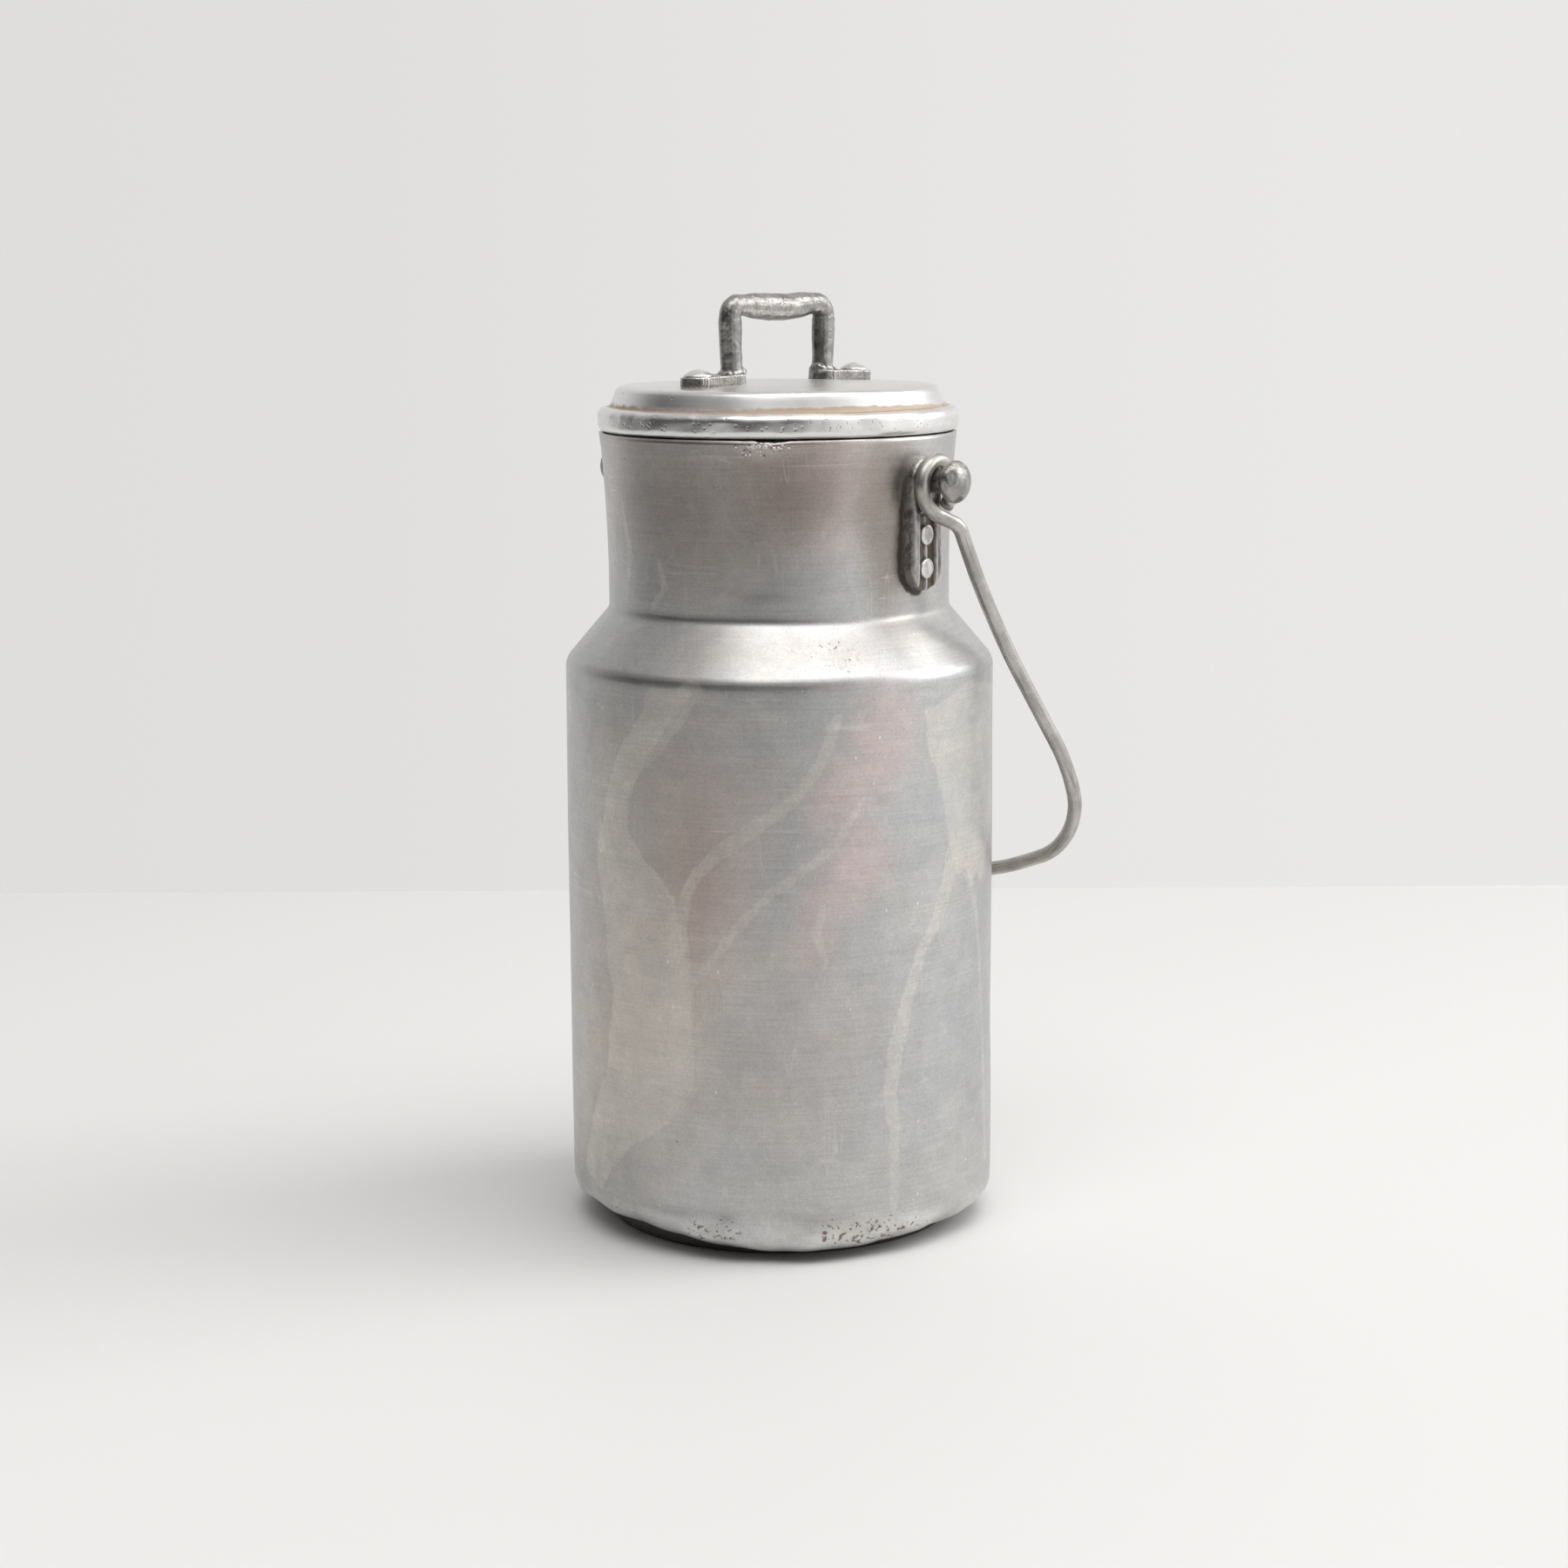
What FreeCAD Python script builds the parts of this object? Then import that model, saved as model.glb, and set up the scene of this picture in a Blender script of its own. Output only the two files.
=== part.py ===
import FreeCAD, Part
import Sketcher
import math
import os

# A two-litre aluminium milk can: a spun can with a narrow neck, a loose lid with a
# cast handle, two cast ears riveted to the neck, and a bent wire bail.
# Millimetres, Z up. The origin is the can's axis at the plane it stands on.
# The ears lie on the X axis, and the bail hangs on the +Y side.

SIZES = {
    # can
    "body_radius": 60.0,
    "crease_height": 159.2,
    "shoulder_rise": 14.6,
    "neck_radius": 47.6,
    "neck_length": 48.5,
    "flare_out": 2.1,
    "flare_drop": 21.7,
    "flare_round": 385.0,
    "can_wall": 1.8,
    "base_round": 6.6,
    "foot_height": 3.6,
    "foot_setback": 11.0,
    "foot_slope_width": 3.5,
    "foot_ring_width": 3.0,
    "base_recess": 2.2,
    "base_slope_width": 2.5,
    "crease_round": 5.0,
    "neck_round": 3.0,
    # lid, with its heights above the seat on the can's mouth
    "lid_seat_gap": 0.2,
    "lid_sheet": 1.5,
    "lid_rise": 14.0,
    "lid_edge_rise": 12.4,
    "lid_edge_round": 2.2,
    "lid_wall_slant": 2.3,
    "groove_rise": 6.7,
    "bead_overhang": 0.5,
    "bead_width": 3.4,
    "bead_rise": 7.1,
    "bead_round": 2.5,
    "bead_lower_round": 2.3,
    "fold_round": 0.5,
    "plug_depth": 15.0,
    "plug_clearance": 0.4,
    "lid_turn": -5.0,
    # lid handle
    "handle_rise": 23.2,
    "handle_edge_margin": 22.9,
    "handle_lean": 0.9,
    "leg_radius": 2.7,
    "handle_corner": 3.4,
    "grip_swell": 0.8,
    "grip_swell_half": 12.0,
    "foot_width": 9.6,
    "foot_round": 4.4,
    "foot_inner_lap": 6.6,
    "foot_edge_margin": 8.9,
    "foot_thickness": 2.4,
    "foot_rivet_margin": 4.4,
    "foot_rivet_head": 4.2,
    "foot_rivet_dome": 2.1,
    "foot_rivet_dome_round": 1.9,
    "foot_rivet_shank": 1.8,
    "foot_rivet_tail": 3.0,
    # ears
    "pivot_drop": 11.8,
    "ear_thickness": 3.0,
    "ear_width": 13.0,
    "ear_end_round": 6.2,
    "ear_above_pivot": 6.3,
    "ear_below_pivot": 29.7,
    "ear_groove_width": 6.6,
    "ear_groove_depth": 1.3,
    "ear_groove_start": 8.4,
    "ear_edge_round": 1.2,
    "stud_radius": 3.3,
    "stud_head_radius": 5.6,
    "stud_head_half": 3.5,
    "stud_head_gap": 0.8,
    "ear_rivet_drop": 14.6,
    "ear_rivet_pitch": 9.1,
    "ear_rivet_head": 2.75,
    "ear_rivet_head_height": 1.2,
    "ear_rivet_edge_round": 0.3,
    "ear_rivet_shank": 1.5,
    "ear_rivet_tail": 2.6,
    # all rivets
    "rivet_clearance": 0.03,
    "rivet_tail_height": 1.0,
    "rivet_tail_round": 0.3,
    # bail, in its own plane: half widths from the middle, drops from the pivot;
    # each bend's run is the length of straight it takes up on either side
    "wire": 4.0,
    "eye_bore": 4.9,
    "eye_side_gap": 0.3,
    "pivot_clearance": 0.05,
    "eye_end_angle": 350.0,
    "eye_straight": 3.5,
    "eye_bend_run": 1.4,
    "kink_out": 3.3,
    "kink_drop": 13.8,
    "kink_bend_run": 1.9,
    "knee_out": 1.3,
    "knee_drop": 44.0,
    "knee_bend_run": 17.4,
    "haunch_clearance": 8.5,
    "haunch_rise": 43.7,
    "haunch_bend_run": 9.4,
    "hip_in": 4.5,
    "hip_rise": 18.2,
    "hip_bend_run": 16.3,
    "bow_half": 23.0,
    "bow_bend_run": 21.3,
    "bail_reach": 137.2,
    "bail_rest_gap": 0.3,
}

# Places that several pieces share, each worked out once as an expression on the sheet.
NECK_HEIGHT = "(Sizes.crease_height + Sizes.shoulder_rise)"
MOUTH_HEIGHT = f"({NECK_HEIGHT} + Sizes.neck_length)"
MOUTH_RADIUS = "(Sizes.neck_radius + Sizes.flare_out)"
FLARE_HEIGHT = f"({MOUTH_HEIGHT} - Sizes.flare_drop)"
FLARE_START = f"({FLARE_HEIGHT} - Sizes.flare_round * tan(atan(Sizes.flare_out / Sizes.flare_drop) / 2))"
LID_SEAT = f"({MOUTH_HEIGHT} + Sizes.lid_seat_gap)"
LID_TOP = f"({LID_SEAT} + Sizes.lid_rise)"
BEAD_RADIUS = f"({MOUTH_RADIUS} + Sizes.bead_overhang)"
GROOVE_RADIUS = f"({BEAD_RADIUS} - Sizes.bead_width)"
LID_EDGE_RADIUS = f"({GROOVE_RADIUS} - Sizes.lid_wall_slant)"
LID_SLOPE = f"atan((Sizes.lid_rise - Sizes.lid_edge_rise) / {LID_EDGE_RADIUS})"
PLUG_END = f"({LID_SEAT} - Sizes.plug_depth)"
HANDLE_HALF = f"({LID_EDGE_RADIUS} - Sizes.handle_edge_margin)"
FOOT_INNER = f"({HANDLE_HALF} - Sizes.foot_inner_lap)"
FOOT_OUTER = f"({LID_EDGE_RADIUS} - Sizes.foot_edge_margin)"
FOOT_RIVET_PLACE = f"({FOOT_OUTER} - Sizes.foot_rivet_margin)"
PIVOT_HEIGHT = f"({MOUTH_HEIGHT} - Sizes.pivot_drop)"
EAR_RIVET_HEIGHTS = {
    "upper": f"({PIVOT_HEIGHT} - Sizes.ear_rivet_drop)",
    "lower": f"({PIVOT_HEIGHT} - Sizes.ear_rivet_drop - Sizes.ear_rivet_pitch)",
}


def neck_outside(height):
    """Outer radius of the flared neck at a height between the flare's start and its end."""
    climb = f"max(0; {height} - {FLARE_START})"
    return f"(Sizes.neck_radius + Sizes.flare_round - sqrt(Sizes.flare_round^2 - ({climb})^2))"


EAR_FACE = f"({neck_outside(PIVOT_HEIGHT)} + Sizes.ear_thickness)"
EYE_PLACE = f"({EAR_FACE} + Sizes.eye_side_gap + Sizes.wire / 2)"
EYE_OFFSET = "(Sizes.eye_bore - Sizes.stud_radius - Sizes.pivot_clearance)"
HEAD_PLACE = f"({EYE_PLACE} + Sizes.wire / 2 + Sizes.stud_head_gap + Sizes.stud_head_half)"
REST_ANGLE = "asin((Sizes.body_radius + Sizes.wire / 2 + Sizes.bail_rest_gap) / Sizes.bail_reach)"


def make_sheet(doc):
    sheet = doc.addObject("Spreadsheet::Sheet", "Sizes")
    for row, (alias, value) in enumerate(SIZES.items(), start=1):
        sheet.set(f"A{row}", alias)
        sheet.set(f"B{row}", str(value))
        sheet.setAlias(f"B{row}", alias)
    doc.recompute()
    return sheet


def value_of(owner, expression):
    result = owner.evalExpression(str(expression))
    return float(getattr(result, "Value", result))


def origin_plane(body, role):
    for feature in body.Origin.OriginFeatures:
        if feature.Role == role:
            return feature
    raise ValueError(role)


def add_body(doc, label):
    body = doc.addObject("PartDesign::Body", label)
    body.Label = label
    return body


def add_sketch(body, name, role):
    sketch = body.newObject("Sketcher::SketchObject", name)
    sketch.AttachmentSupport = (origin_plane(body, role), [""])
    sketch.MapMode = "FlatFace"
    return sketch


def constrain(sketch, *terms, expression=None):
    index = sketch.addConstraint(Sketcher.Constraint(*terms))
    if expression is not None:
        sketch.setExpression(f"Constraints[{index}]", expression)


def hold_point(sketch, shape, point, corner):
    """Tie one point of the sketch to the two expressions of a corner."""
    for axis, kind, line in ((0, "DistanceX", -2), (1, "DistanceY", -1)):
        if corner[axis] == "0":
            constrain(sketch, "PointOnObject", shape, point, line)
        else:
            place = value_of(sketch, corner[axis])
            constrain(sketch, kind, -1, 1, shape, point, place, expression=corner[axis])


def outline(sketch, corners, closed=True):
    """Line through corners (x, y) or (x, y, radius), given as expressions on the sheet."""
    count = len(corners)
    spots = [FreeCAD.Vector(value_of(sketch, c[0]), value_of(sketch, c[1]), 0) for c in corners]
    ways = [(spots[(i + 1) % count] - spots[i]).normalize() for i in range(count)]
    rounds = [value_of(sketch, c[2]) if len(c) > 2 else 0.0 for c in corners]
    cuts = [rounds[i] * math.tan(ways[i - 1].getAngle(ways[i]) / 2) for i in range(count)]
    sides = []
    for i in range(count if closed else count - 1):
        ahead = (i + 1) % count
        first = spots[i] + ways[i] * cuts[i]
        last = spots[ahead] - ways[i] * cuts[ahead]
        sides.append(sketch.addGeometry(Part.LineSegment(first, last), False))
    if not closed:
        hold_point(sketch, sides[0], 1, corners[0])
        hold_point(sketch, sides[-1], 2, corners[-1])
    for i in range(0 if closed else 1, count if closed else count - 1):
        before, after = sides[i - 1], sides[i]
        if rounds[i]:
            bend = (spots[i], ways[i - 1], ways[i], rounds[i], cuts[i])
            round_corner(sketch, before, after, corners[i], bend)
        else:
            constrain(sketch, "Coincident", before, 2, after, 1)
            hold_point(sketch, after, 1, corners[i])


def round_corner(sketch, before, after, corner, place):
    """Join two sides with a tangent arc, whose sharp corner stays where the expressions say."""
    spot, way_in, way_out, radius, cut = place
    side = 1 if way_in.cross(way_out).z > 0 else -1
    enter = spot - way_in * cut
    leave = spot + way_out * cut
    centre = leave + FreeCAD.Vector(-way_out.y, way_out.x, 0) * side * radius
    ends = [enter, leave][::side]
    angles = [math.atan2(end.y - centre.y, end.x - centre.x) for end in ends]
    circle = Part.Circle(centre, FreeCAD.Vector(0, 0, 1), radius)
    arc = sketch.addGeometry(Part.ArcOfCircle(circle, *angles), False)
    arc_start, arc_end = (1, 2)[::side]
    constrain(sketch, "Tangent", before, 2, arc, arc_start)
    constrain(sketch, "Tangent", after, 1, arc, arc_end)
    constrain(sketch, "Radius", arc, radius, expression=corner[2])
    tip = sketch.addGeometry(Part.Point(spot), True)
    constrain(sketch, "PointOnObject", tip, 1, before)
    constrain(sketch, "PointOnObject", tip, 1, after)
    hold_point(sketch, tip, 1, corner)


def circle_outline(sketch, x, y, radius):
    centre = FreeCAD.Vector(value_of(sketch, x), value_of(sketch, y), 0)
    circle = Part.Circle(centre, FreeCAD.Vector(0, 0, 1), value_of(sketch, radius))
    index = sketch.addGeometry(circle, False)
    hold_point(sketch, index, 3, (x, y))
    constrain(sketch, "Radius", index, value_of(sketch, radius), expression=radius)


def revolve(body, sketch, name, kind="PartDesign::Revolution"):
    feature = body.newObject(kind, name)
    feature.Profile = (sketch, [""])
    feature.ReferenceAxis = (sketch, ["V_Axis"])
    feature.Angle = 360
    sketch.Document.recompute()
    return feature


def pad(body, sketch, name, length):
    feature = body.newObject("PartDesign::Pad", name)
    feature.Profile = (sketch, [""])
    feature.setExpression("Length", length)
    sketch.Document.recompute()
    return feature


def drill(body, sketch, name, both_ways=False):
    feature = body.newObject("PartDesign::Pocket", name)
    feature.Profile = (sketch, [""])
    feature.Type = "ThroughAll"
    feature.Midplane = both_ways
    sketch.Document.recompute()
    return feature


def flat_face_at(shape, height):
    """Name of the flat horizontal face at a height."""
    for index, face in enumerate(shape.Faces, start=1):
        box = face.BoundBox
        if box.ZLength < 1e-6 and abs(box.ZMin - height) < 1e-4:
            return f"Face{index}"
    raise ValueError(height)


def hollow(body, base, name, wall, open_height):
    """Leave a wall of even thickness inside a turned solid, open at one flat face."""
    feature = body.newObject("PartDesign::Thickness", name)
    feature.Base = (base, [flat_face_at(base.Shape, value_of(body, open_height))])
    feature.setExpression("Value", wall)
    feature.Reversed = True
    feature.Join = "Arc"
    body.Document.recompute()
    return feature


NECK_OUTLINE = [
    ("Sizes.neck_radius", FLARE_HEIGHT, "Sizes.flare_round"),
    (MOUTH_RADIUS, MOUTH_HEIGHT),
    ("0", MOUTH_HEIGHT),
]


def make_can_body(doc):
    body = add_body(doc, "can_body")
    profile = add_sketch(body, "can_profile", "XZ_Plane")
    foot_radius = "(Sizes.body_radius - Sizes.foot_setback)"
    ring_inside = f"({foot_radius} - Sizes.foot_ring_width)"
    outline(profile, [
        ("0", "Sizes.base_recess"),
        (f"({ring_inside} - Sizes.base_slope_width)", "Sizes.base_recess"),
        (ring_inside, "0"),
        (foot_radius, "0"),
        (f"({foot_radius} + Sizes.foot_slope_width)", "Sizes.foot_height"),
        ("Sizes.body_radius", "Sizes.foot_height", "Sizes.base_round"),
        ("Sizes.body_radius", "Sizes.crease_height", "Sizes.crease_round"),
        ("Sizes.neck_radius", NECK_HEIGHT, "Sizes.neck_round"),
    ] + NECK_OUTLINE)
    turned = revolve(body, profile, "can_turned")
    hollow(body, turned, "can_hollow", "Sizes.can_wall", MOUTH_HEIGHT)
    holes = add_sketch(body, "can_rivet_holes", "YZ_Plane")
    for height in EAR_RIVET_HEIGHTS.values():
        circle_outline(holes, "0", height, "Sizes.ear_rivet_shank + Sizes.rivet_clearance")
    drill(body, holes, "can_rivet_bores", both_ways=True)
    return body


def turn_with_lid(body, inner=""):
    """Turn a piece about the can's axis by the way the loose lid was put on."""
    turned = "placement(vector(0; 0; 0); rotation(vector(0; 0; 1); Sizes.lid_turn))"
    body.setExpression("Placement", turned + inner)


def tilt_onto_lid(feature, side):
    """Lay a sketch on the lid's slope on one side of the handle, with its origin at the lid's top."""
    tilt = FreeCAD.Rotation(FreeCAD.Vector(1, 0, 0), 1)
    feature.AttachmentOffset = FreeCAD.Placement(FreeCAD.Vector(), tilt)
    feature.setExpression("AttachmentOffset.Base.z", LID_TOP)
    feature.setExpression("AttachmentOffset.Rotation.Angle", f"{-side} * {LID_SLOPE}")


def make_lid_shell(doc):
    """One spun sheet: crown, bead and plug, of the same thickness all the way."""
    body = add_body(doc, "lid_shell")
    profile = add_sketch(body, "lid_profile", "XZ_Plane")
    plug_radius = f"({neck_outside(PLUG_END)} - Sizes.can_wall - Sizes.plug_clearance)"
    lean = "atan(Sizes.lid_wall_slant / (Sizes.lid_edge_rise - Sizes.groove_rise))"
    step_in = f"Sizes.lid_sheet * (1 / cos({lean}) - tan({lean}))"
    under_crown = f"Sizes.lid_sheet / cos({LID_SLOPE})"
    outline(profile, [
        ("0", LID_TOP),
        ("0", f"{LID_TOP} - {under_crown}"),
        (f"{LID_EDGE_RADIUS} - {step_in}",
         f"{LID_SEAT} + Sizes.lid_edge_rise - {under_crown} + {step_in} * tan({LID_SLOPE})",
         "Sizes.lid_edge_round - Sizes.lid_sheet"),
        (f"{GROOVE_RADIUS} - {step_in}", f"{LID_SEAT} + Sizes.groove_rise - Sizes.lid_sheet",
         "Sizes.fold_round + Sizes.lid_sheet"),
        (f"{BEAD_RADIUS} - Sizes.lid_sheet", f"{LID_SEAT} + Sizes.bead_rise - Sizes.lid_sheet",
         "Sizes.bead_round - Sizes.lid_sheet"),
        (f"{BEAD_RADIUS} - Sizes.lid_sheet", f"{LID_SEAT} + Sizes.lid_sheet",
         "Sizes.bead_lower_round - Sizes.lid_sheet"),
        (f"{plug_radius} - Sizes.lid_sheet", f"{LID_SEAT} + Sizes.lid_sheet",
         "Sizes.fold_round + Sizes.lid_sheet"),
        (f"{plug_radius} - Sizes.lid_sheet", PLUG_END),
        (plug_radius, PLUG_END),
        (plug_radius, LID_SEAT, "Sizes.fold_round"),
        (BEAD_RADIUS, LID_SEAT, "Sizes.bead_lower_round"),
        (BEAD_RADIUS, f"{LID_SEAT} + Sizes.bead_rise", "Sizes.bead_round"),
        (GROOVE_RADIUS, f"{LID_SEAT} + Sizes.groove_rise", "Sizes.fold_round"),
        (LID_EDGE_RADIUS, f"{LID_SEAT} + Sizes.lid_edge_rise", "Sizes.lid_edge_round"),
    ])
    revolve(body, profile, "lid_turned")
    for side, end in ((1, "rear"), (-1, "front")):
        hole = add_sketch(body, f"lid_{end}_hole", "XY_Plane")
        tilt_onto_lid(hole, side)
        circle_outline(hole, "0", f"{side} * {FOOT_RIVET_PLACE}",
                       "Sizes.foot_rivet_shank + Sizes.rivet_clearance")
        drill(body, hole, f"lid_{end}_bore", both_ways=True)
    turn_with_lid(body)
    return body


def make_lid_handle(doc):
    body = add_body(doc, "lid_handle")
    leg_top = f"({HANDLE_HALF} - Sizes.leg_radius)"
    leg_foot = f"({leg_top} - Sizes.handle_lean)"
    bar_height = f"({LID_TOP} + Sizes.handle_rise - Sizes.leg_radius)"
    sunk = f"({LID_TOP} - {leg_foot} * tan({LID_SLOPE}) + Sizes.foot_thickness / 2)"
    path = add_sketch(body, "handle_path", "YZ_Plane")
    outline(path, [
        (f"-{leg_foot}", sunk),
        (f"-{leg_top}", bar_height, "Sizes.handle_corner"),
        (leg_top, bar_height, "Sizes.handle_corner"),
        (leg_foot, sunk),
    ], closed=False)
    section = add_sketch(body, "handle_section", "XY_Plane")
    section.setExpression("AttachmentOffset.Base.z", sunk)
    circle_outline(section, "0", f"-{leg_foot}", "Sizes.leg_radius")
    bar = body.newObject("PartDesign::AdditivePipe", "handle_bar")
    bar.Profile = (section, [""])
    bar.Spine = (path, [""])
    doc.recompute()
    swell = body.newObject("PartDesign::AdditiveEllipsoid", "handle_swell")
    swell.AttachmentSupport = (origin_plane(body, "XZ_Plane"), [""])
    swell.MapMode = "FlatFace"
    swell.setExpression("AttachmentOffset.Base.y", f"{bar_height} - Sizes.grip_swell")
    swell.setExpression("Radius1", "Sizes.grip_swell_half")
    swell.setExpression("Radius2", "Sizes.leg_radius + Sizes.grip_swell")
    swell.setExpression("Radius3", "Sizes.leg_radius + Sizes.grip_swell")
    swell.Angle1 = -90
    swell.Angle2 = 90
    swell.Angle3 = 360
    doc.recompute()
    for side, end in ((1, "rear"), (-1, "front")):
        foot = add_sketch(body, f"foot_{end}_outline", "XY_Plane")
        tilt_onto_lid(foot, side)
        near, far = (f"{side} * {FOOT_INNER}", f"{side} * {FOOT_OUTER}")
        half = f"{side} * Sizes.foot_width / 2"
        outline(foot, [
            (f"-{half}", near, "Sizes.foot_round"),
            (half, near, "Sizes.foot_round"),
            (half, far, "Sizes.foot_round"),
            (f"-{half}", far, "Sizes.foot_round"),
        ])
        pad(body, foot, f"foot_{end}", "Sizes.foot_thickness")
        hole = add_sketch(body, f"foot_{end}_hole", "XY_Plane")
        tilt_onto_lid(hole, side)
        circle_outline(hole, "0", f"{side} * {FOOT_RIVET_PLACE}",
                       "Sizes.foot_rivet_shank + Sizes.rivet_clearance")
        drill(body, hole, f"foot_{end}_bore", both_ways=True)
    turn_with_lid(body)
    return body


def make_rivet(doc, label, head, grip, shank, tail):
    """A set rivet along Z, with the seat of its head at the origin and its tail below the grip."""
    body = add_body(doc, label)
    profile = add_sketch(body, f"{label}_profile", "XZ_Plane")
    tail_end = f"(-({grip}) - Sizes.rivet_tail_height)"
    radius, height, rounding = head
    outline(profile, [
        ("0", tail_end),
        (tail, tail_end, "Sizes.rivet_tail_round"),
        (tail, f"-({grip})"),
        (shank, f"-({grip})"),
        (shank, "0"),
        (radius, "0"),
        (radius, height, rounding),
        ("0", height),
    ])
    revolve(body, profile, f"{label}_turned")
    return body


def make_foot_rivets(doc):
    grip = "(Sizes.foot_thickness + Sizes.lid_sheet + Sizes.rivet_clearance)"
    head = ("Sizes.foot_rivet_head", "Sizes.foot_rivet_dome", "Sizes.foot_rivet_dome_round")
    rivets = []
    for side, end in ((1, "rear"), (-1, "front")):
        rivet = make_rivet(doc, f"handle_rivet_{end}", head, grip,
                           "Sizes.foot_rivet_shank", "Sizes.foot_rivet_tail")
        slope = f"rotation(vector(1; 0; 0); {-side} * {LID_SLOPE})"
        onto_lid = f"placement(vector(0; 0; {LID_TOP}); {slope})"
        along_foot = f"vector(0; {side} * {FOOT_RIVET_PLACE}; Sizes.foot_thickness)"
        turn_with_lid(rivet, f" * {onto_lid} * placement({along_foot}; rotation(vector(1; 0; 0); 0))")
        rivets.append(rivet)
    return rivets


def make_ear(doc, label, half_turn):
    body = add_body(doc, label)
    plate = add_sketch(body, f"{label}_outline", "YZ_Plane")
    low = f"({PIVOT_HEIGHT} - Sizes.ear_below_pivot)"
    high = f"({PIVOT_HEIGHT} + Sizes.ear_above_pivot)"
    half = "(Sizes.ear_width / 2)"
    outline(plate, [
        (f"-{half}", low, "Sizes.ear_end_round"),
        (half, low, "Sizes.ear_end_round"),
        (half, high, "Sizes.ear_end_round"),
        (f"-{half}", high, "Sizes.ear_end_round"),
    ])
    pad(body, plate, f"{label}_plate", EAR_FACE)
    seat = add_sketch(body, f"{label}_seat_outline", "XZ_Plane")
    outline(seat, [("0", NECK_HEIGHT), ("Sizes.neck_radius", NECK_HEIGHT)] + NECK_OUTLINE)
    revolve(body, seat, f"{label}_seat", "PartDesign::Groove")
    channel = add_sketch(body, f"{label}_channel_outline", "YZ_Plane")
    channel.setExpression("AttachmentOffset.Base.z", EAR_FACE)
    channel_half = "(Sizes.ear_groove_width / 2)"
    channel_high = f"({PIVOT_HEIGHT} - Sizes.ear_groove_start)"
    channel_low = f"({low} - Sizes.ear_width)"
    outline(channel, [
        (f"-{channel_half}", channel_low),
        (channel_half, channel_low),
        (channel_half, channel_high, "Sizes.ear_groove_depth"),
        (f"-{channel_half}", channel_high, "Sizes.ear_groove_depth"),
    ])
    groove = body.newObject("PartDesign::Pocket", f"{label}_channel")
    groove.Profile = (channel, [""])
    groove.setExpression("Length", "Sizes.ear_groove_depth")
    doc.recompute()
    rim = body.newObject("PartDesign::Fillet", f"{label}_rim_round")
    rim.Base = (groove, edges_on_face(groove.Shape, value_of(body, EAR_FACE)))
    rim.setExpression("Radius", "Sizes.ear_edge_round")
    doc.recompute()
    stud = add_sketch(body, f"{label}_stud_outline", "YZ_Plane")
    stud.setExpression("AttachmentOffset.Base.z", f"{EAR_FACE} - Sizes.ear_groove_depth")
    circle_outline(stud, "0", PIVOT_HEIGHT, "Sizes.stud_radius")
    pad(body, stud, f"{label}_stud", f"{HEAD_PLACE} - {EAR_FACE} + Sizes.ear_groove_depth")
    head = body.newObject("PartDesign::AdditiveEllipsoid", f"{label}_head")
    head.AttachmentSupport = (origin_plane(body, "YZ_Plane"), [""])
    head.MapMode = "FlatFace"
    head.setExpression("AttachmentOffset.Base.y", PIVOT_HEIGHT)
    head.setExpression("AttachmentOffset.Base.z", HEAD_PLACE)
    head.setExpression("Radius1", "Sizes.stud_head_half")
    head.setExpression("Radius2", "Sizes.stud_head_radius")
    head.setExpression("Radius3", "Sizes.stud_head_radius")
    head.Angle1 = -90
    head.Angle2 = 90
    head.Angle3 = 360
    doc.recompute()
    holes = add_sketch(body, f"{label}_holes", "YZ_Plane")
    for height in EAR_RIVET_HEIGHTS.values():
        circle_outline(holes, "0", height, "Sizes.ear_rivet_shank + Sizes.rivet_clearance")
    drill(body, holes, f"{label}_bores", both_ways=True)
    body.Placement.Rotation = FreeCAD.Rotation(FreeCAD.Vector(0, 0, 1), half_turn)
    return body


def edges_on_face(shape, place):
    """Names of the edges that lie in the plane of the ear's face, X = place."""
    names = []
    for index, edge in enumerate(shape.Edges, start=1):
        box = edge.BoundBox
        if abs(box.XMin - place) < 1e-4 and abs(box.XMax - place) < 1e-4:
            names.append(f"Edge{index}")
    return names


def make_ear_rivets(doc, side_name, side):
    head = ("Sizes.ear_rivet_head", "Sizes.ear_rivet_head_height", "Sizes.ear_rivet_edge_round")
    floor = f"({EAR_FACE} - Sizes.ear_groove_depth)"
    rivets = []
    for row, height in EAR_RIVET_HEIGHTS.items():
        wall_inside = f"({neck_outside(height + ' - Sizes.ear_rivet_tail')} - Sizes.can_wall)"
        tail_seat = f"sqrt(({wall_inside})^2 - Sizes.ear_rivet_tail^2)"
        grip = f"({floor} - {tail_seat} + Sizes.rivet_clearance)"
        rivet = make_rivet(doc, f"ear_rivet_{side_name}_{row}", head, grip,
                           "Sizes.ear_rivet_shank", "Sizes.ear_rivet_tail")
        spot = f"vector({side} * {floor}; 0; {height})"
        rivet.setExpression("Placement", f"placement({spot}; rotation(vector(0; 1; 0); {side} * 90))")
        rivets.append(rivet)
    return rivets


def bent_path(points, runs):
    """Straight runs joined by tangent arcs; the first and last points have no bend."""
    edges = []
    here = points[0]
    for before, corner, after, run in zip(points, points[1:], points[2:], runs):
        way_in = (corner - before).normalize()
        way_out = (after - corner).normalize()
        radius = run / math.tan(way_in.getAngle(way_out) / 2)
        enter = corner - way_in * run
        leave = corner + way_out * run
        centre_way = (way_out - way_in).normalize()
        middle = corner + centre_way * (math.hypot(radius, run) - radius)
        edges.append(Part.LineSegment(here, enter).toShape())
        edges.append(Part.Arc(enter, middle, leave).toShape())
        here = leave
    edges.append(Part.LineSegment(here, points[-1]).toShape())
    return edges


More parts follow.
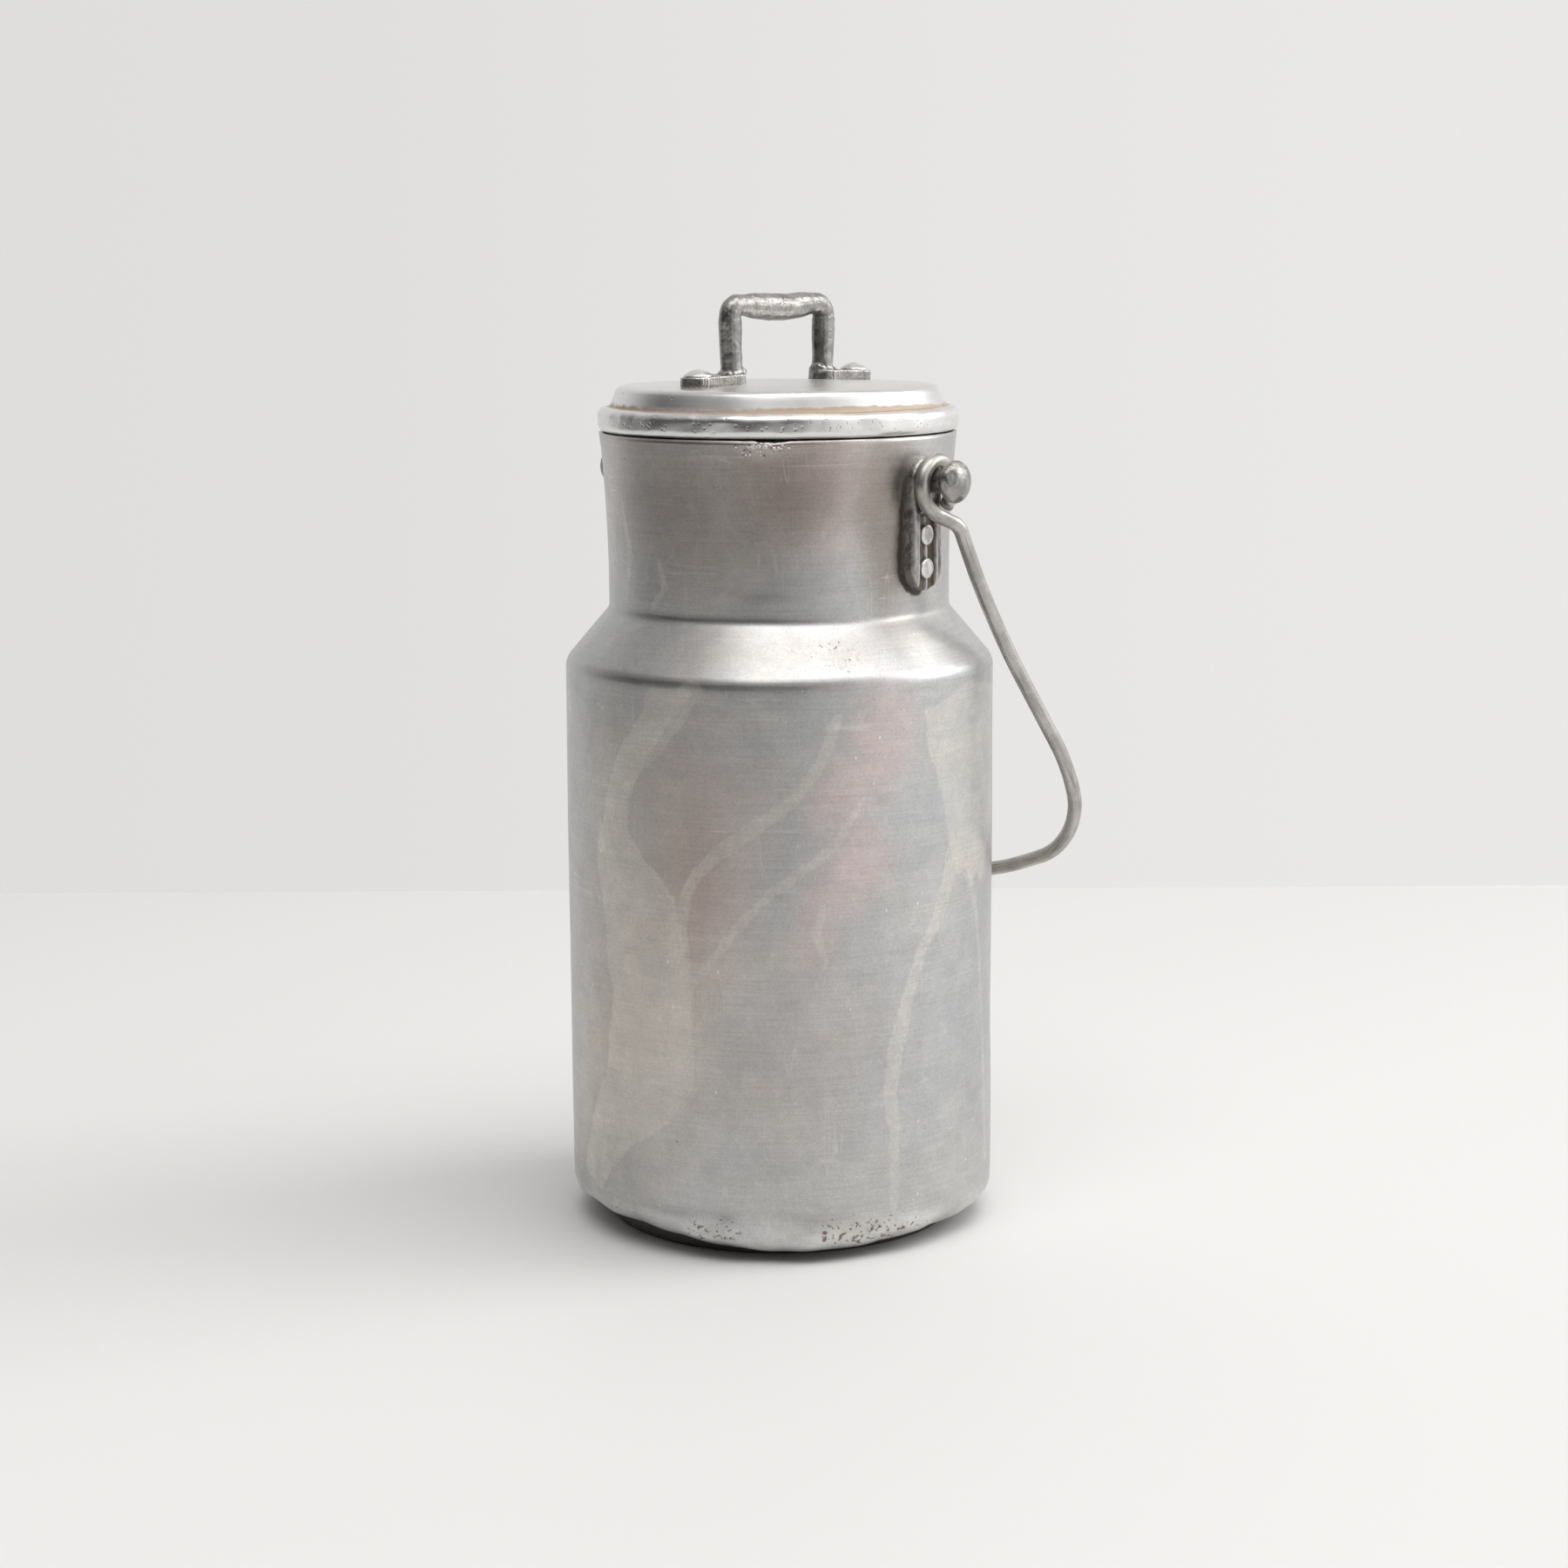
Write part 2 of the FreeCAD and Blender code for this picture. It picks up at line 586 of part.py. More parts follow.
def make_bail(doc):
    """One bent wire: X across the can, Y square to the bail's plane, Z up to the pivot line."""
    bail = doc.addObject("Part::Feature", "bail")
    sizes = {name: value_of(bail, f"Sizes.{name}") for name in SIZES}
    eye_place = value_of(bail, EYE_PLACE)
    eye_drop = value_of(bail, EYE_OFFSET)
    eye_round = sizes["eye_bore"] + sizes["wire"] / 2
    eye_centre = FreeCAD.Vector(eye_place, 0, -eye_drop)
    kink_half = eye_place + sizes["kink_out"]
    below_eye = sizes["kink_drop"] - eye_drop
    leave_angle = math.acos(eye_round / below_eye)

    def on_eye(angle):
        return eye_centre + FreeCAD.Vector(0, -math.sin(angle), -math.cos(angle)) * eye_round

    leave = on_eye(leave_angle)
    way_down = (FreeCAD.Vector(eye_place, 0, -sizes["kink_drop"]) - leave).normalize()
    bend = leave + way_down * sizes["eye_straight"]
    reach = sizes["bail_reach"]
    haunch_half = sizes["body_radius"] + sizes["wire"] / 2 + sizes["haunch_clearance"]
    corners = [
        leave,
        bend,
        FreeCAD.Vector(kink_half, 0, -sizes["kink_drop"]),
        FreeCAD.Vector(kink_half + sizes["knee_out"], 0, -sizes["knee_drop"]),
        FreeCAD.Vector(haunch_half, 0, sizes["haunch_rise"] - reach),
        FreeCAD.Vector(haunch_half - sizes["hip_in"], 0, sizes["hip_rise"] - reach),
        FreeCAD.Vector(sizes["bow_half"], 0, -reach),
    ]
    other_side = [FreeCAD.Vector(-corner.x, corner.y, corner.z) for corner in reversed(corners)]
    places = ("eye", "kink", "knee", "haunch", "hip", "bow")
    runs = [sizes[f"{place}_bend_run"] for place in places]
    eye_end = math.radians(sizes["eye_end_angle"])
    eye_points = [on_eye(angle) for angle in (eye_end, (eye_end + leave_angle) / 2, leave_angle)]
    edges = [Part.Arc(*eye_points).toShape()]
    edges += bent_path(corners + other_side, runs + runs[::-1])
    edges += [Part.Arc(*(FreeCAD.Vector(-p.x, p.y, p.z) for p in reversed(eye_points))).toShape()]
    path = Part.Wire(edges)
    start = path.Edges[0]
    tangent = start.tangentAt(start.FirstParameter)
    ring = Part.Wire(Part.makeCircle(sizes["wire"] / 2, start.valueAt(start.FirstParameter), tangent))
    bail.Shape = path.makePipeShell([ring], True, False)
    section = math.pi * (sizes["wire"] / 2) ** 2
    if abs(bail.Shape.Volume / (section * path.Length) - 1) > 0.01:
        raise ValueError("the bail's wire is not whole")
    bail.Placement.Rotation = FreeCAD.Rotation(FreeCAD.Vector(1, 0, 0), 1)
    bail.setExpression("Placement.Base.z", PIVOT_HEIGHT)
    bail.setExpression("Placement.Rotation.Angle", REST_ANGLE)
    return bail


def check(doc, parts):
    for item in doc.Objects:
        if {"Invalid", "Error"} & set(item.State):
            raise ValueError(f"{item.Label}: {item.State}")
    for part in parts:
        if part.Shape.isNull() or not part.Shape.isValid():
            raise ValueError(f"{part.Label} has no valid shape")


def main():
    doc = FreeCAD.newDocument("milk_can")
    make_sheet(doc)
    parts = [make_can_body(doc), make_lid_shell(doc), make_lid_handle(doc)]
    parts += make_foot_rivets(doc)
    for side_name, side, half_turn in (("right", 1, 0), ("left", -1, 180)):
        parts.append(make_ear(doc, f"ear_{side_name}", half_turn))
        parts += make_ear_rivets(doc, side_name, side)
    parts.append(make_bail(doc))
    doc.recompute()
    check(doc, parts)
    os.makedirs("parts", exist_ok=True)
    for part in parts:
        part.Shape.exportStep(f"parts/{part.Label}.step")
        print(part.Label, len(part.Shape.Solids), round(part.Shape.Volume, 1), part.Shape.BoundBox)


main()
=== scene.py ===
import bmesh
import bpy
import math
import random
from mathutils import Matrix, Vector, noise


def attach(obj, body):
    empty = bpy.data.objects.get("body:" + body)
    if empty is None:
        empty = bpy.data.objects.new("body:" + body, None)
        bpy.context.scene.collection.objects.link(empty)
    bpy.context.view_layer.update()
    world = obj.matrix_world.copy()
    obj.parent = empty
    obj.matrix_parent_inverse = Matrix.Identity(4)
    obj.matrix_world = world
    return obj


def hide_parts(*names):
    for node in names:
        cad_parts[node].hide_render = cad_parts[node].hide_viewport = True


# A two-litre aluminium milk can: spun can, loose lid with a cast handle, cast ears, wire bail.
# Sizes below are in millimetres and degrees; angles round the can are counted from its front.

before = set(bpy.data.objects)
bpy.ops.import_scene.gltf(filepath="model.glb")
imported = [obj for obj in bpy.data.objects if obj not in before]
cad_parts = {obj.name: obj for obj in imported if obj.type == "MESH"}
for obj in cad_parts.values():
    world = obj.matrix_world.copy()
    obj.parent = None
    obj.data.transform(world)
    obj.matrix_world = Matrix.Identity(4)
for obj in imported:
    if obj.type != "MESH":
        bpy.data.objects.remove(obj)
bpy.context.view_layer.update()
scene = bpy.context.scene
mm = 0.001
frontAngle = math.radians(-51.5)  # the side of the can that faces the main view
print("frame loaded:", len(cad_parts), "nodes")


# ---- camera, table and light

cameraPlace = {
    "azimuth": 38.5,
    "away": 0.8696,
    "aside": 0.00112,
    "height": 0.2713,
    "lookDown": 9.71,
    "roll": 0.299,
    "lens": 71.42,
    "sensor": 36,
}
turn = math.radians(cameraPlace["azimuth"])
towardsViewer = Vector((math.sin(turn), -math.cos(turn), 0))
viewRight = Vector((math.cos(turn), math.sin(turn), 0))


def makeCamera():
    down, roll = math.radians(cameraPlace["lookDown"]), math.radians(cameraPlace["roll"])
    look = -towardsViewer * math.cos(down) - Vector((0, 0, math.sin(down)))
    up = viewRight.cross(look)
    across = viewRight * math.cos(roll) - up * math.sin(roll)
    upward = viewRight * math.sin(roll) + up * math.cos(roll)
    place = towardsViewer * cameraPlace["away"] + viewRight * cameraPlace["aside"]
    data = bpy.data.cameras.new("camera")
    data.lens = cameraPlace["lens"]
    data.sensor_width = cameraPlace["sensor"]
    camera = bpy.data.objects.new("camera", data)
    turned = Matrix((across, upward, -look)).transposed().to_4x4()
    camera.matrix_world = Matrix.Translation(place + Vector((0, 0, cameraPlace["height"]))) @ turned
    scene.collection.objects.link(camera)
    scene.camera = camera


def addNode(tree, kind, inputs=None, **settings):
    node = tree.nodes.new(kind)
    for key, value in settings.items():
        setattr(node, key, value)
    for key, value in (inputs or {}).items():
        if isinstance(value, bpy.types.NodeSocket):
            tree.links.new(value, node.inputs[key])
        else:
            node.inputs[key].default_value = value
    return node


def mathOf(tree, operation, first, second=0.5):
    return addNode(tree, "ShaderNodeMath", {0: first, 1: second}, operation=operation).outputs[0]


def times(tree, first, second):
    return mathOf(tree, "MULTIPLY", first, second)


def plus(tree, first, *others):
    for other in others:
        first = mathOf(tree, "ADD", first, other)
    return first


def minus(tree, first, second):
    return mathOf(tree, "SUBTRACT", first, second)


def highest(tree, first, *others):
    for other in others:
        first = mathOf(tree, "MAXIMUM", first, other)
    return first


def ramp(tree, value, low, high, start=0.0, end=1.0, smooth=True):
    inputs = {"Value": value, "From Min": low, "From Max": high, "To Min": start, "To Max": end}
    kind = "SMOOTHSTEP" if smooth else "LINEAR"
    return addNode(tree, "ShaderNodeMapRange", inputs, interpolation_type=kind).outputs["Result"]


def mixColor(tree, share, first, second, blend="MIX"):
    node = addNode(tree, "ShaderNodeMix", data_type="RGBA", blend_type=blend)
    for key, value in ((0, share), (6, first), (7, second)):
        if isinstance(value, bpy.types.NodeSocket):
            tree.links.new(value, node.inputs[key])
        elif key == 0:
            node.inputs[key].default_value = value
        else:
            node.inputs[key].default_value = (*value, 1)
    return node.outputs[2]


stage = {
    "tableBehind": 448.5,
    "tableFront": 1500.0,
    "tableHalf": 1500.0,
    "tableThick": 40.0,
    "tableEdge": 2.0,
    "tableColor": (0.82, 0.82, 0.815),
    "tableRoughness": 0.55,
    "tableShine": 0.12,
    "backLeft": (0.735, 0.728, 0.718),
    "backRight": (0.815, 0.808, 0.798),
}
# size in millimetres, power in watts, place to the right, towards the camera and up
lights = {
    "window": {"size": (1000, 1000), "power": 12.0, "from": (1.75, -0.25, 1.15),
               "color": (1.0, 0.99, 0.975)},
    "ceiling": {"size": (1900, 900), "power": 13.5, "from": (0.25, 0.42, 1.6),
                "color": (1.0, 0.995, 0.985)},
}
lightsAim = Vector((0, 0, 0.12))
# how bright the room is to each side, as the metal mirrors it
room = {
    "base": 0.03,
    "right": 1.02,
    "behind": 0.78,
    "above": 0.52,
    "dimColor": (1.0, 0.975, 0.95),
    "brightColor": (1.0, 0.995, 0.985),
}


def inView(right, towards, up):
    return viewRight * right + towardsViewer * towards + Vector((0, 0, up))


def makeTable():
    bm = bmesh.new()
    bmesh.ops.create_cube(bm, size=1)
    length = (stage["tableFront"] + stage["tableBehind"]) * mm
    thick = stage["tableThick"] * mm
    bmesh.ops.scale(bm, vec=(2 * stage["tableHalf"] * mm, length, thick), verts=bm.verts)
    bmesh.ops.translate(bm, vec=(0, length / 2 - stage["tableFront"] * mm, -thick / 2), verts=bm.verts)
    bmesh.ops.bevel(bm, geom=bm.edges[:], offset=stage["tableEdge"] * mm, affect="EDGES",
                    segments=3, profile=0.5, material=-1)
    bmesh.ops.rotate(bm, cent=(0, 0, 0), matrix=Matrix.Rotation(turn, 3, "Z"), verts=bm.verts)
    mesh = bpy.data.meshes.new("table")
    bm.to_mesh(mesh)
    bm.free()
    table = bpy.data.objects.new("table", mesh)
    scene.collection.objects.link(table)
    material = bpy.data.materials.new("tableWhite")
    material.use_nodes = True
    shader = material.node_tree.nodes["Principled BSDF"]
    shader.inputs["Base Color"].default_value = (*stage["tableColor"], 1)
    shader.inputs["Roughness"].default_value = stage["tableRoughness"]
    shader.inputs["Specular IOR Level"].default_value = stage["tableShine"]
    mesh.materials.append(material)


def makeLights():
    for name, look in lights.items():
        data = bpy.data.lights.new(name, "AREA")
        data.shape = "RECTANGLE"
        data.size, data.size_y = (side * mm for side in look["size"])
        data.energy = look["power"]
        data.color = look["color"]
        lamp = bpy.data.objects.new(name, data)
        lamp.location = inView(*look["from"])
        aim = lightsAim - lamp.location
        lamp.rotation_mode = "QUATERNION"
        lamp.rotation_quaternion = aim.to_track_quat("-Z", "Y")
        scene.collection.objects.link(lamp)


def makeWorld():
    world = bpy.data.worlds.new("room")
    scene.world = world
    world.use_nodes = True
    tree = world.node_tree
    tree.nodes.clear()
    way = addNode(tree, "ShaderNodeTexCoord").outputs["Generated"]

    def along(direction):
        node = addNode(tree, "ShaderNodeVectorMath", {0: way, 1: direction}, operation="DOT_PRODUCT")
        return node.outputs["Value"]

    side = along(tuple(viewRight))
    toRight = ramp(tree, side, 0.0, 0.95, 0.0, room["right"])
    behind = ramp(tree, along(tuple(-towardsViewer)), 0.05, 0.75, 0.0, room["behind"])
    above = ramp(tree, along((0, 0, 1)), 0.32, 0.85, 0.0, room["above"])
    level = plus(tree, highest(tree, toRight, behind, above), room["base"])
    color = mixColor(tree, ramp(tree, level, 0.3, 1.1), room["dimColor"], room["brightColor"])
    light = addNode(tree, "ShaderNodeBackground", {"Color": color, "Strength": level})
    # the backdrop seen by the camera is painted darker to the left and lighter to the right, as painted
    # light falling from the right
    paint = mixColor(tree, ramp(tree, side, -0.25, 0.22), stage["backLeft"], stage["backRight"])
    wall = addNode(tree, "ShaderNodeBackground", {"Color": paint, "Strength": 1.0})
    seen = addNode(tree, "ShaderNodeLightPath").outputs["Is Camera Ray"]
    mixed = addNode(tree, "ShaderNodeMixShader", {0: seen, 1: light.outputs[0], 2: wall.outputs[0]})
    addNode(tree, "ShaderNodeOutputWorld", {"Surface": mixed.outputs[0]})


makeCamera()
makeTable()
makeLights()
makeWorld()
scene.view_settings.view_transform = "Standard"
print("camera, table and lights made")


# ---- shared ways of working

mostSteps = 24  # in one rounded corner


def profileWire(bm, corners, fine):
    # each corner is (radius, height) or (radius, height, rounding); fine is the step on a round
    verts = [bm.verts.new((corner[0] * mm, 0, corner[1] * mm)) for corner in corners]
    for pair in zip(verts, verts[1:]):
        bm.edges.new(pair)
    turns = []
    for i, corner in enumerate(corners):
        if len(corner) < 3:
            continue
        before = verts[i].co - verts[i - 1].co
        after = verts[(i + 1) % len(verts)].co - verts[i].co
        turns.append((verts[i], corner[2] * mm, before.angle(after)))
    for vert, radius, angle in turns:
        steps = max(2, math.ceil(radius * angle / (fine * mm)))
        bmesh.ops.bevel(bm, geom=[vert], offset=radius * math.tan(angle / 2), affect="VERTICES",
                        segments=min(steps, mostSteps), profile=0.5, material=-1)


def divideEdges(bm, edges, spacing):
    lengths = {}
    for edge in edges:
        cuts = math.ceil(edge.calc_length() / (spacing * mm)) - 1
        lengths.setdefault(cuts, []).append(edge)
    for cuts, group in lengths.items():
        if cuts > 0:
            bmesh.ops.subdivide_edges(bm, edges=group, cuts=cuts)


def spinProfile(bm, steps):
    bmesh.ops.spin(bm, geom=bm.verts[:] + bm.edges[:], cent=(0, 0, 0), axis=(0, 0, 1), dvec=(0, 0, 0),
                   angle=2 * math.pi, steps=steps, use_merge=True)
    bmesh.ops.remove_doubles(bm, verts=bm.verts, dist=1e-6)
    bmesh.ops.recalc_face_normals(bm, faces=bm.faces)


def finishPiece(name, bm, body, nodes, material):
    mesh = bpy.data.meshes.new(name)
    bm.to_mesh(mesh)
    bm.free()
    mesh.shade_smooth()
    mesh.materials.append(material)
    piece = bpy.data.objects.new(name, mesh)
    scene.collection.objects.link(piece)
    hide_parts(*nodes)
    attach(piece, body)
    print(name, "has", len(mesh.polygons), "faces")


def turnAbout(bm, degrees, axis="Z"):
    bmesh.ops.rotate(bm, cent=(0, 0, 0), matrix=Matrix.Rotation(math.radians(degrees), 3, axis),
                     verts=bm.verts)


def smoothed(bm):
    bmesh.ops.smooth_vert(bm, verts=bm.verts, factor=0.5, use_axis_x=True, use_axis_y=True, use_axis_z=True)


def meshOf(made):
    # takes an object's finished mesh, and deletes the object
    mesh = bpy.data.meshes.new_from_object(made.evaluated_get(bpy.context.evaluated_depsgraph_get()))
    bpy.data.objects.remove(made)
    bm = bmesh.new()
    bm.from_mesh(mesh)
    bpy.data.meshes.remove(mesh)
    return bm


def remeshed(bm, voxel):
    mesh = bpy.data.meshes.new("rough")
    bm.to_mesh(mesh)
    bm.free()
    rough = bpy.data.objects.new("rough", mesh)
    scene.collection.objects.link(rough)
    skin = rough.modifiers.new("skin", "REMESH")
    skin.mode = "VOXEL"
    skin.voxel_size = voxel * mm
    bm = meshOf(rough)
    smoothed(bm)
    bmesh.ops.recalc_face_normals(bm, faces=bm.faces)
    bm.normal_update()
    return bm


def lumpy(bm, layers, shift=0.0):
    # each layer is (size of the lumps, height); points move along their normals
    moves = []
    for vert in bm.verts:
        height = 0.0
        for size, rise in layers:
            height += noise.noise(vert.co / (size * mm) + Vector((shift, shift, shift))) * rise
        moves.append((vert, vert.normal * height * mm))
    for vert, move in moves:
        vert.co += move
    bm.normal_update()


def markRelief(bm):
    # hollows come out negative and edges positive, in hundredths of a millimetre
    rounds, kept, toMark = 6, 0.4, 100000
    layer = bm.verts.layers.float.new("relief")
    bm.normal_update()
    for vert in bm.verts:
        around = [edge.other_vert(vert) for edge in vert.link_edges]
        middle = sum((other.co for other in around), Vector()) / len(around)
        vert[layer] = (vert.co - middle).dot(vert.normal) * toMark
    for _ in range(rounds):
        spread = [sum(edge.other_vert(vert)[layer] for edge in vert.link_edges) / len(vert.link_edges)
                  for vert in bm.verts]
        for vert, value in zip(bm.verts, spread):
            vert[layer] = kept * vert[layer] + (1 - kept) * value


def addInto(bm, other):
    mesh = bpy.data.meshes.new("part")
    other.to_mesh(mesh)
    other.free()
    bm.from_mesh(mesh)
    bpy.data.meshes.remove(mesh)


def blob(place, size, seed=0, detail=3):
    bm = bmesh.new()
    bmesh.ops.create_icosphere(bm, subdivisions=detail, radius=1)
    for vert in bm.verts:
        vert.co *= 1 + 0.25 * noise.noise(vert.co * 1.3 + Vector((seed, 0, 0)))
    bmesh.ops.scale(bm, vec=Vector(size) * mm, verts=bm.verts)
    bmesh.ops.translate(bm, vec=Vector(place) * mm, verts=bm.verts)
    return bm


def frontAround(co):
    # angle from the can's front, positive to the right, in degrees
    angle = math.degrees(math.atan2(co.y, co.x) - frontAngle)
    return (angle + 180) % 360 - 180


def bump(distance, reach):
    # 1 in the middle, falling softly to 0 at the reach
    share = min(1.0, abs(distance) / reach)
    return (1 - share * share) ** 2


def angleGap(a, b):
    return abs((a - b + 180) % 360 - 180)


# ---- finishes, with noises and pits sized in repeats to the metre

def newMaterial(name):
    material = bpy.data.materials.new(name)
    material.use_nodes = True
    tree = material.node_tree
    shader = tree.nodes["Principled BSDF"]
    shader.inputs["Metallic"].default_value = 1.0
    return material, tree, shader


def objectPlace(tree):
    return addNode(tree, "ShaderNodeTexCoord").outputs["Object"]


def noiseOf(tree, vector, scale, detail=3.0, rough=0.55, distortion=0.0):
    node = addNode(tree, "ShaderNodeTexNoise", {"Vector": vector, "Scale": scale, "Detail": detail,
                                                "Roughness": rough, "Distortion": distortion})
    return node.outputs["Fac"]


def stretched(tree, vector, scale, turned=(0, 0, 0)):
    node = addNode(tree, "ShaderNodeMapping", {"Vector": vector, "Rotation": turned, "Scale": scale})
    return node.outputs["Vector"]


def ringPlace(tree, place, across, along):
    # stretched so that a noise becomes lines turned round the Z axis, on walls and on tops
    parts = addNode(tree, "ShaderNodeSeparateXYZ", {0: place}).outputs
    flat = addNode(tree, "ShaderNodeCombineXYZ", {0: parts[0], 1: parts[1], 2: 0.0}).outputs[0]
    radius = addNode(tree, "ShaderNodeVectorMath", {0: flat}, operation="LENGTH").outputs["Value"]
    level = minus(tree, parts[2], times(tree, radius, 0.9))
    ring = {0: times(tree, parts[0], along), 1: times(tree, parts[1], along), 2: times(tree, level, across)}
    return addNode(tree, "ShaderNodeCombineXYZ", ring).outputs[0]


def hairlines(tree, place, scale, turned, width, amount):
    # fine scratches: thin contour lines of a stretched noise, kept here and there
    field = noiseOf(tree, stretched(tree, place, scale, turned), 1.0, 1.0, 0.4)
    line = ramp(tree, mathOf(tree, "ABSOLUTE", minus(tree, field, 0.5)), 0.0, width, 1.0, 0.0)
    return times(tree, line, ramp(tree, noiseOf(tree, place, 75.0, 2.0), amount, amount + 0.08))


def pits(tree, place, scale, share, size):
    # round pits in a few of the cells, 1 in a pit's middle
    cells = {"Vector": place, "Scale": scale, "Randomness": 1.0}
    spots = addNode(tree, "ShaderNodeTexVoronoi", cells).outputs
    chosen = addNode(tree, "ShaderNodeSeparateColor", {0: spots["Color"]}).outputs[0]
    hole = ramp(tree, spots["Distance"], size * 0.3, size, 1.0, 0.0)
    return times(tree, hole, mathOf(tree, "LESS_THAN", chosen, share))


def attributeOf(tree, name, output="Fac"):
    return addNode(tree, "ShaderNodeAttribute", attribute_name=name).outputs[output]


def zonesOf(tree):
    # the three zones kept on a piece's points: stained warm, stained rosy, pitted
    parts = addNode(tree, "ShaderNodeSeparateColor", {0: attributeOf(tree, "zones", "Color")}).outputs
    return parts[0], parts[1], parts[2]


def centred(tree, field, amount):
    # a noise made to swing both ways round 0
    return times(tree, minus(tree, field, 0.5), amount)


def swayed(tree, field, low, high):
    # the usual reach of a noise, spread from low to high
    return ramp(tree, field, 0.3, 0.7, low, high, smooth=False)


def shaded(tree, color, shade, *others):
    for other in others:
        shade = times(tree, shade, other)
    grey = addNode(tree, "ShaderNodeCombineColor", {0: shade, 1: shade, 2: shade}).outputs[0]
    return mixColor(tree, 1.0, color, grey, "MULTIPLY")


def joinShader(tree, shader, color, rough, height, depth):
    bumps = addNode(tree, "ShaderNodeBump", {"Strength": 1.0, "Distance": depth, "Height": height})
    tree.links.new(color, shader.inputs["Base Color"])
    tree.links.new(rough, shader.inputs["Roughness"])
    tree.links.new(bumps.outputs[0], shader.inputs["Normal"])


canFinish = {
    "grey": (0.545, 0.538, 0.530),
    "cool": (0.500, 0.506, 0.512),
    "warm": (0.600, 0.545, 0.485),
    "pink": (0.715, 0.560, 0.550),
    "run": (0.720, 0.685, 0.635),
    # dull: tarnish, and painted shade on the neck under the lid's bead and on the shoulder
    "dull": (0.275, 0.238, 0.216),
    "worn": (0.860, 0.855, 0.840),
    "scratched": (0.86, 0.85, 0.83),
    "glint": (0.95, 0.94, 0.92),
    "eaten": (0.13, 0.09, 0.055),
    # the darkest mark: dirt along the ears' outlines, and painted shade on the foot under the can
    "grimeAndShade": (0.032, 0.021, 0.013),
    "roughness": 0.395,
    # how strongly each mark shows, 0 to 1
    "wornShare": 0.5,
    "scratchShare": 0.2,
    "glintShare": 0.75,
    "eatenShare": 0.8,
    "grimeAndShadeShare": 0.9,
    "bumpDepth": 0.000022,
}


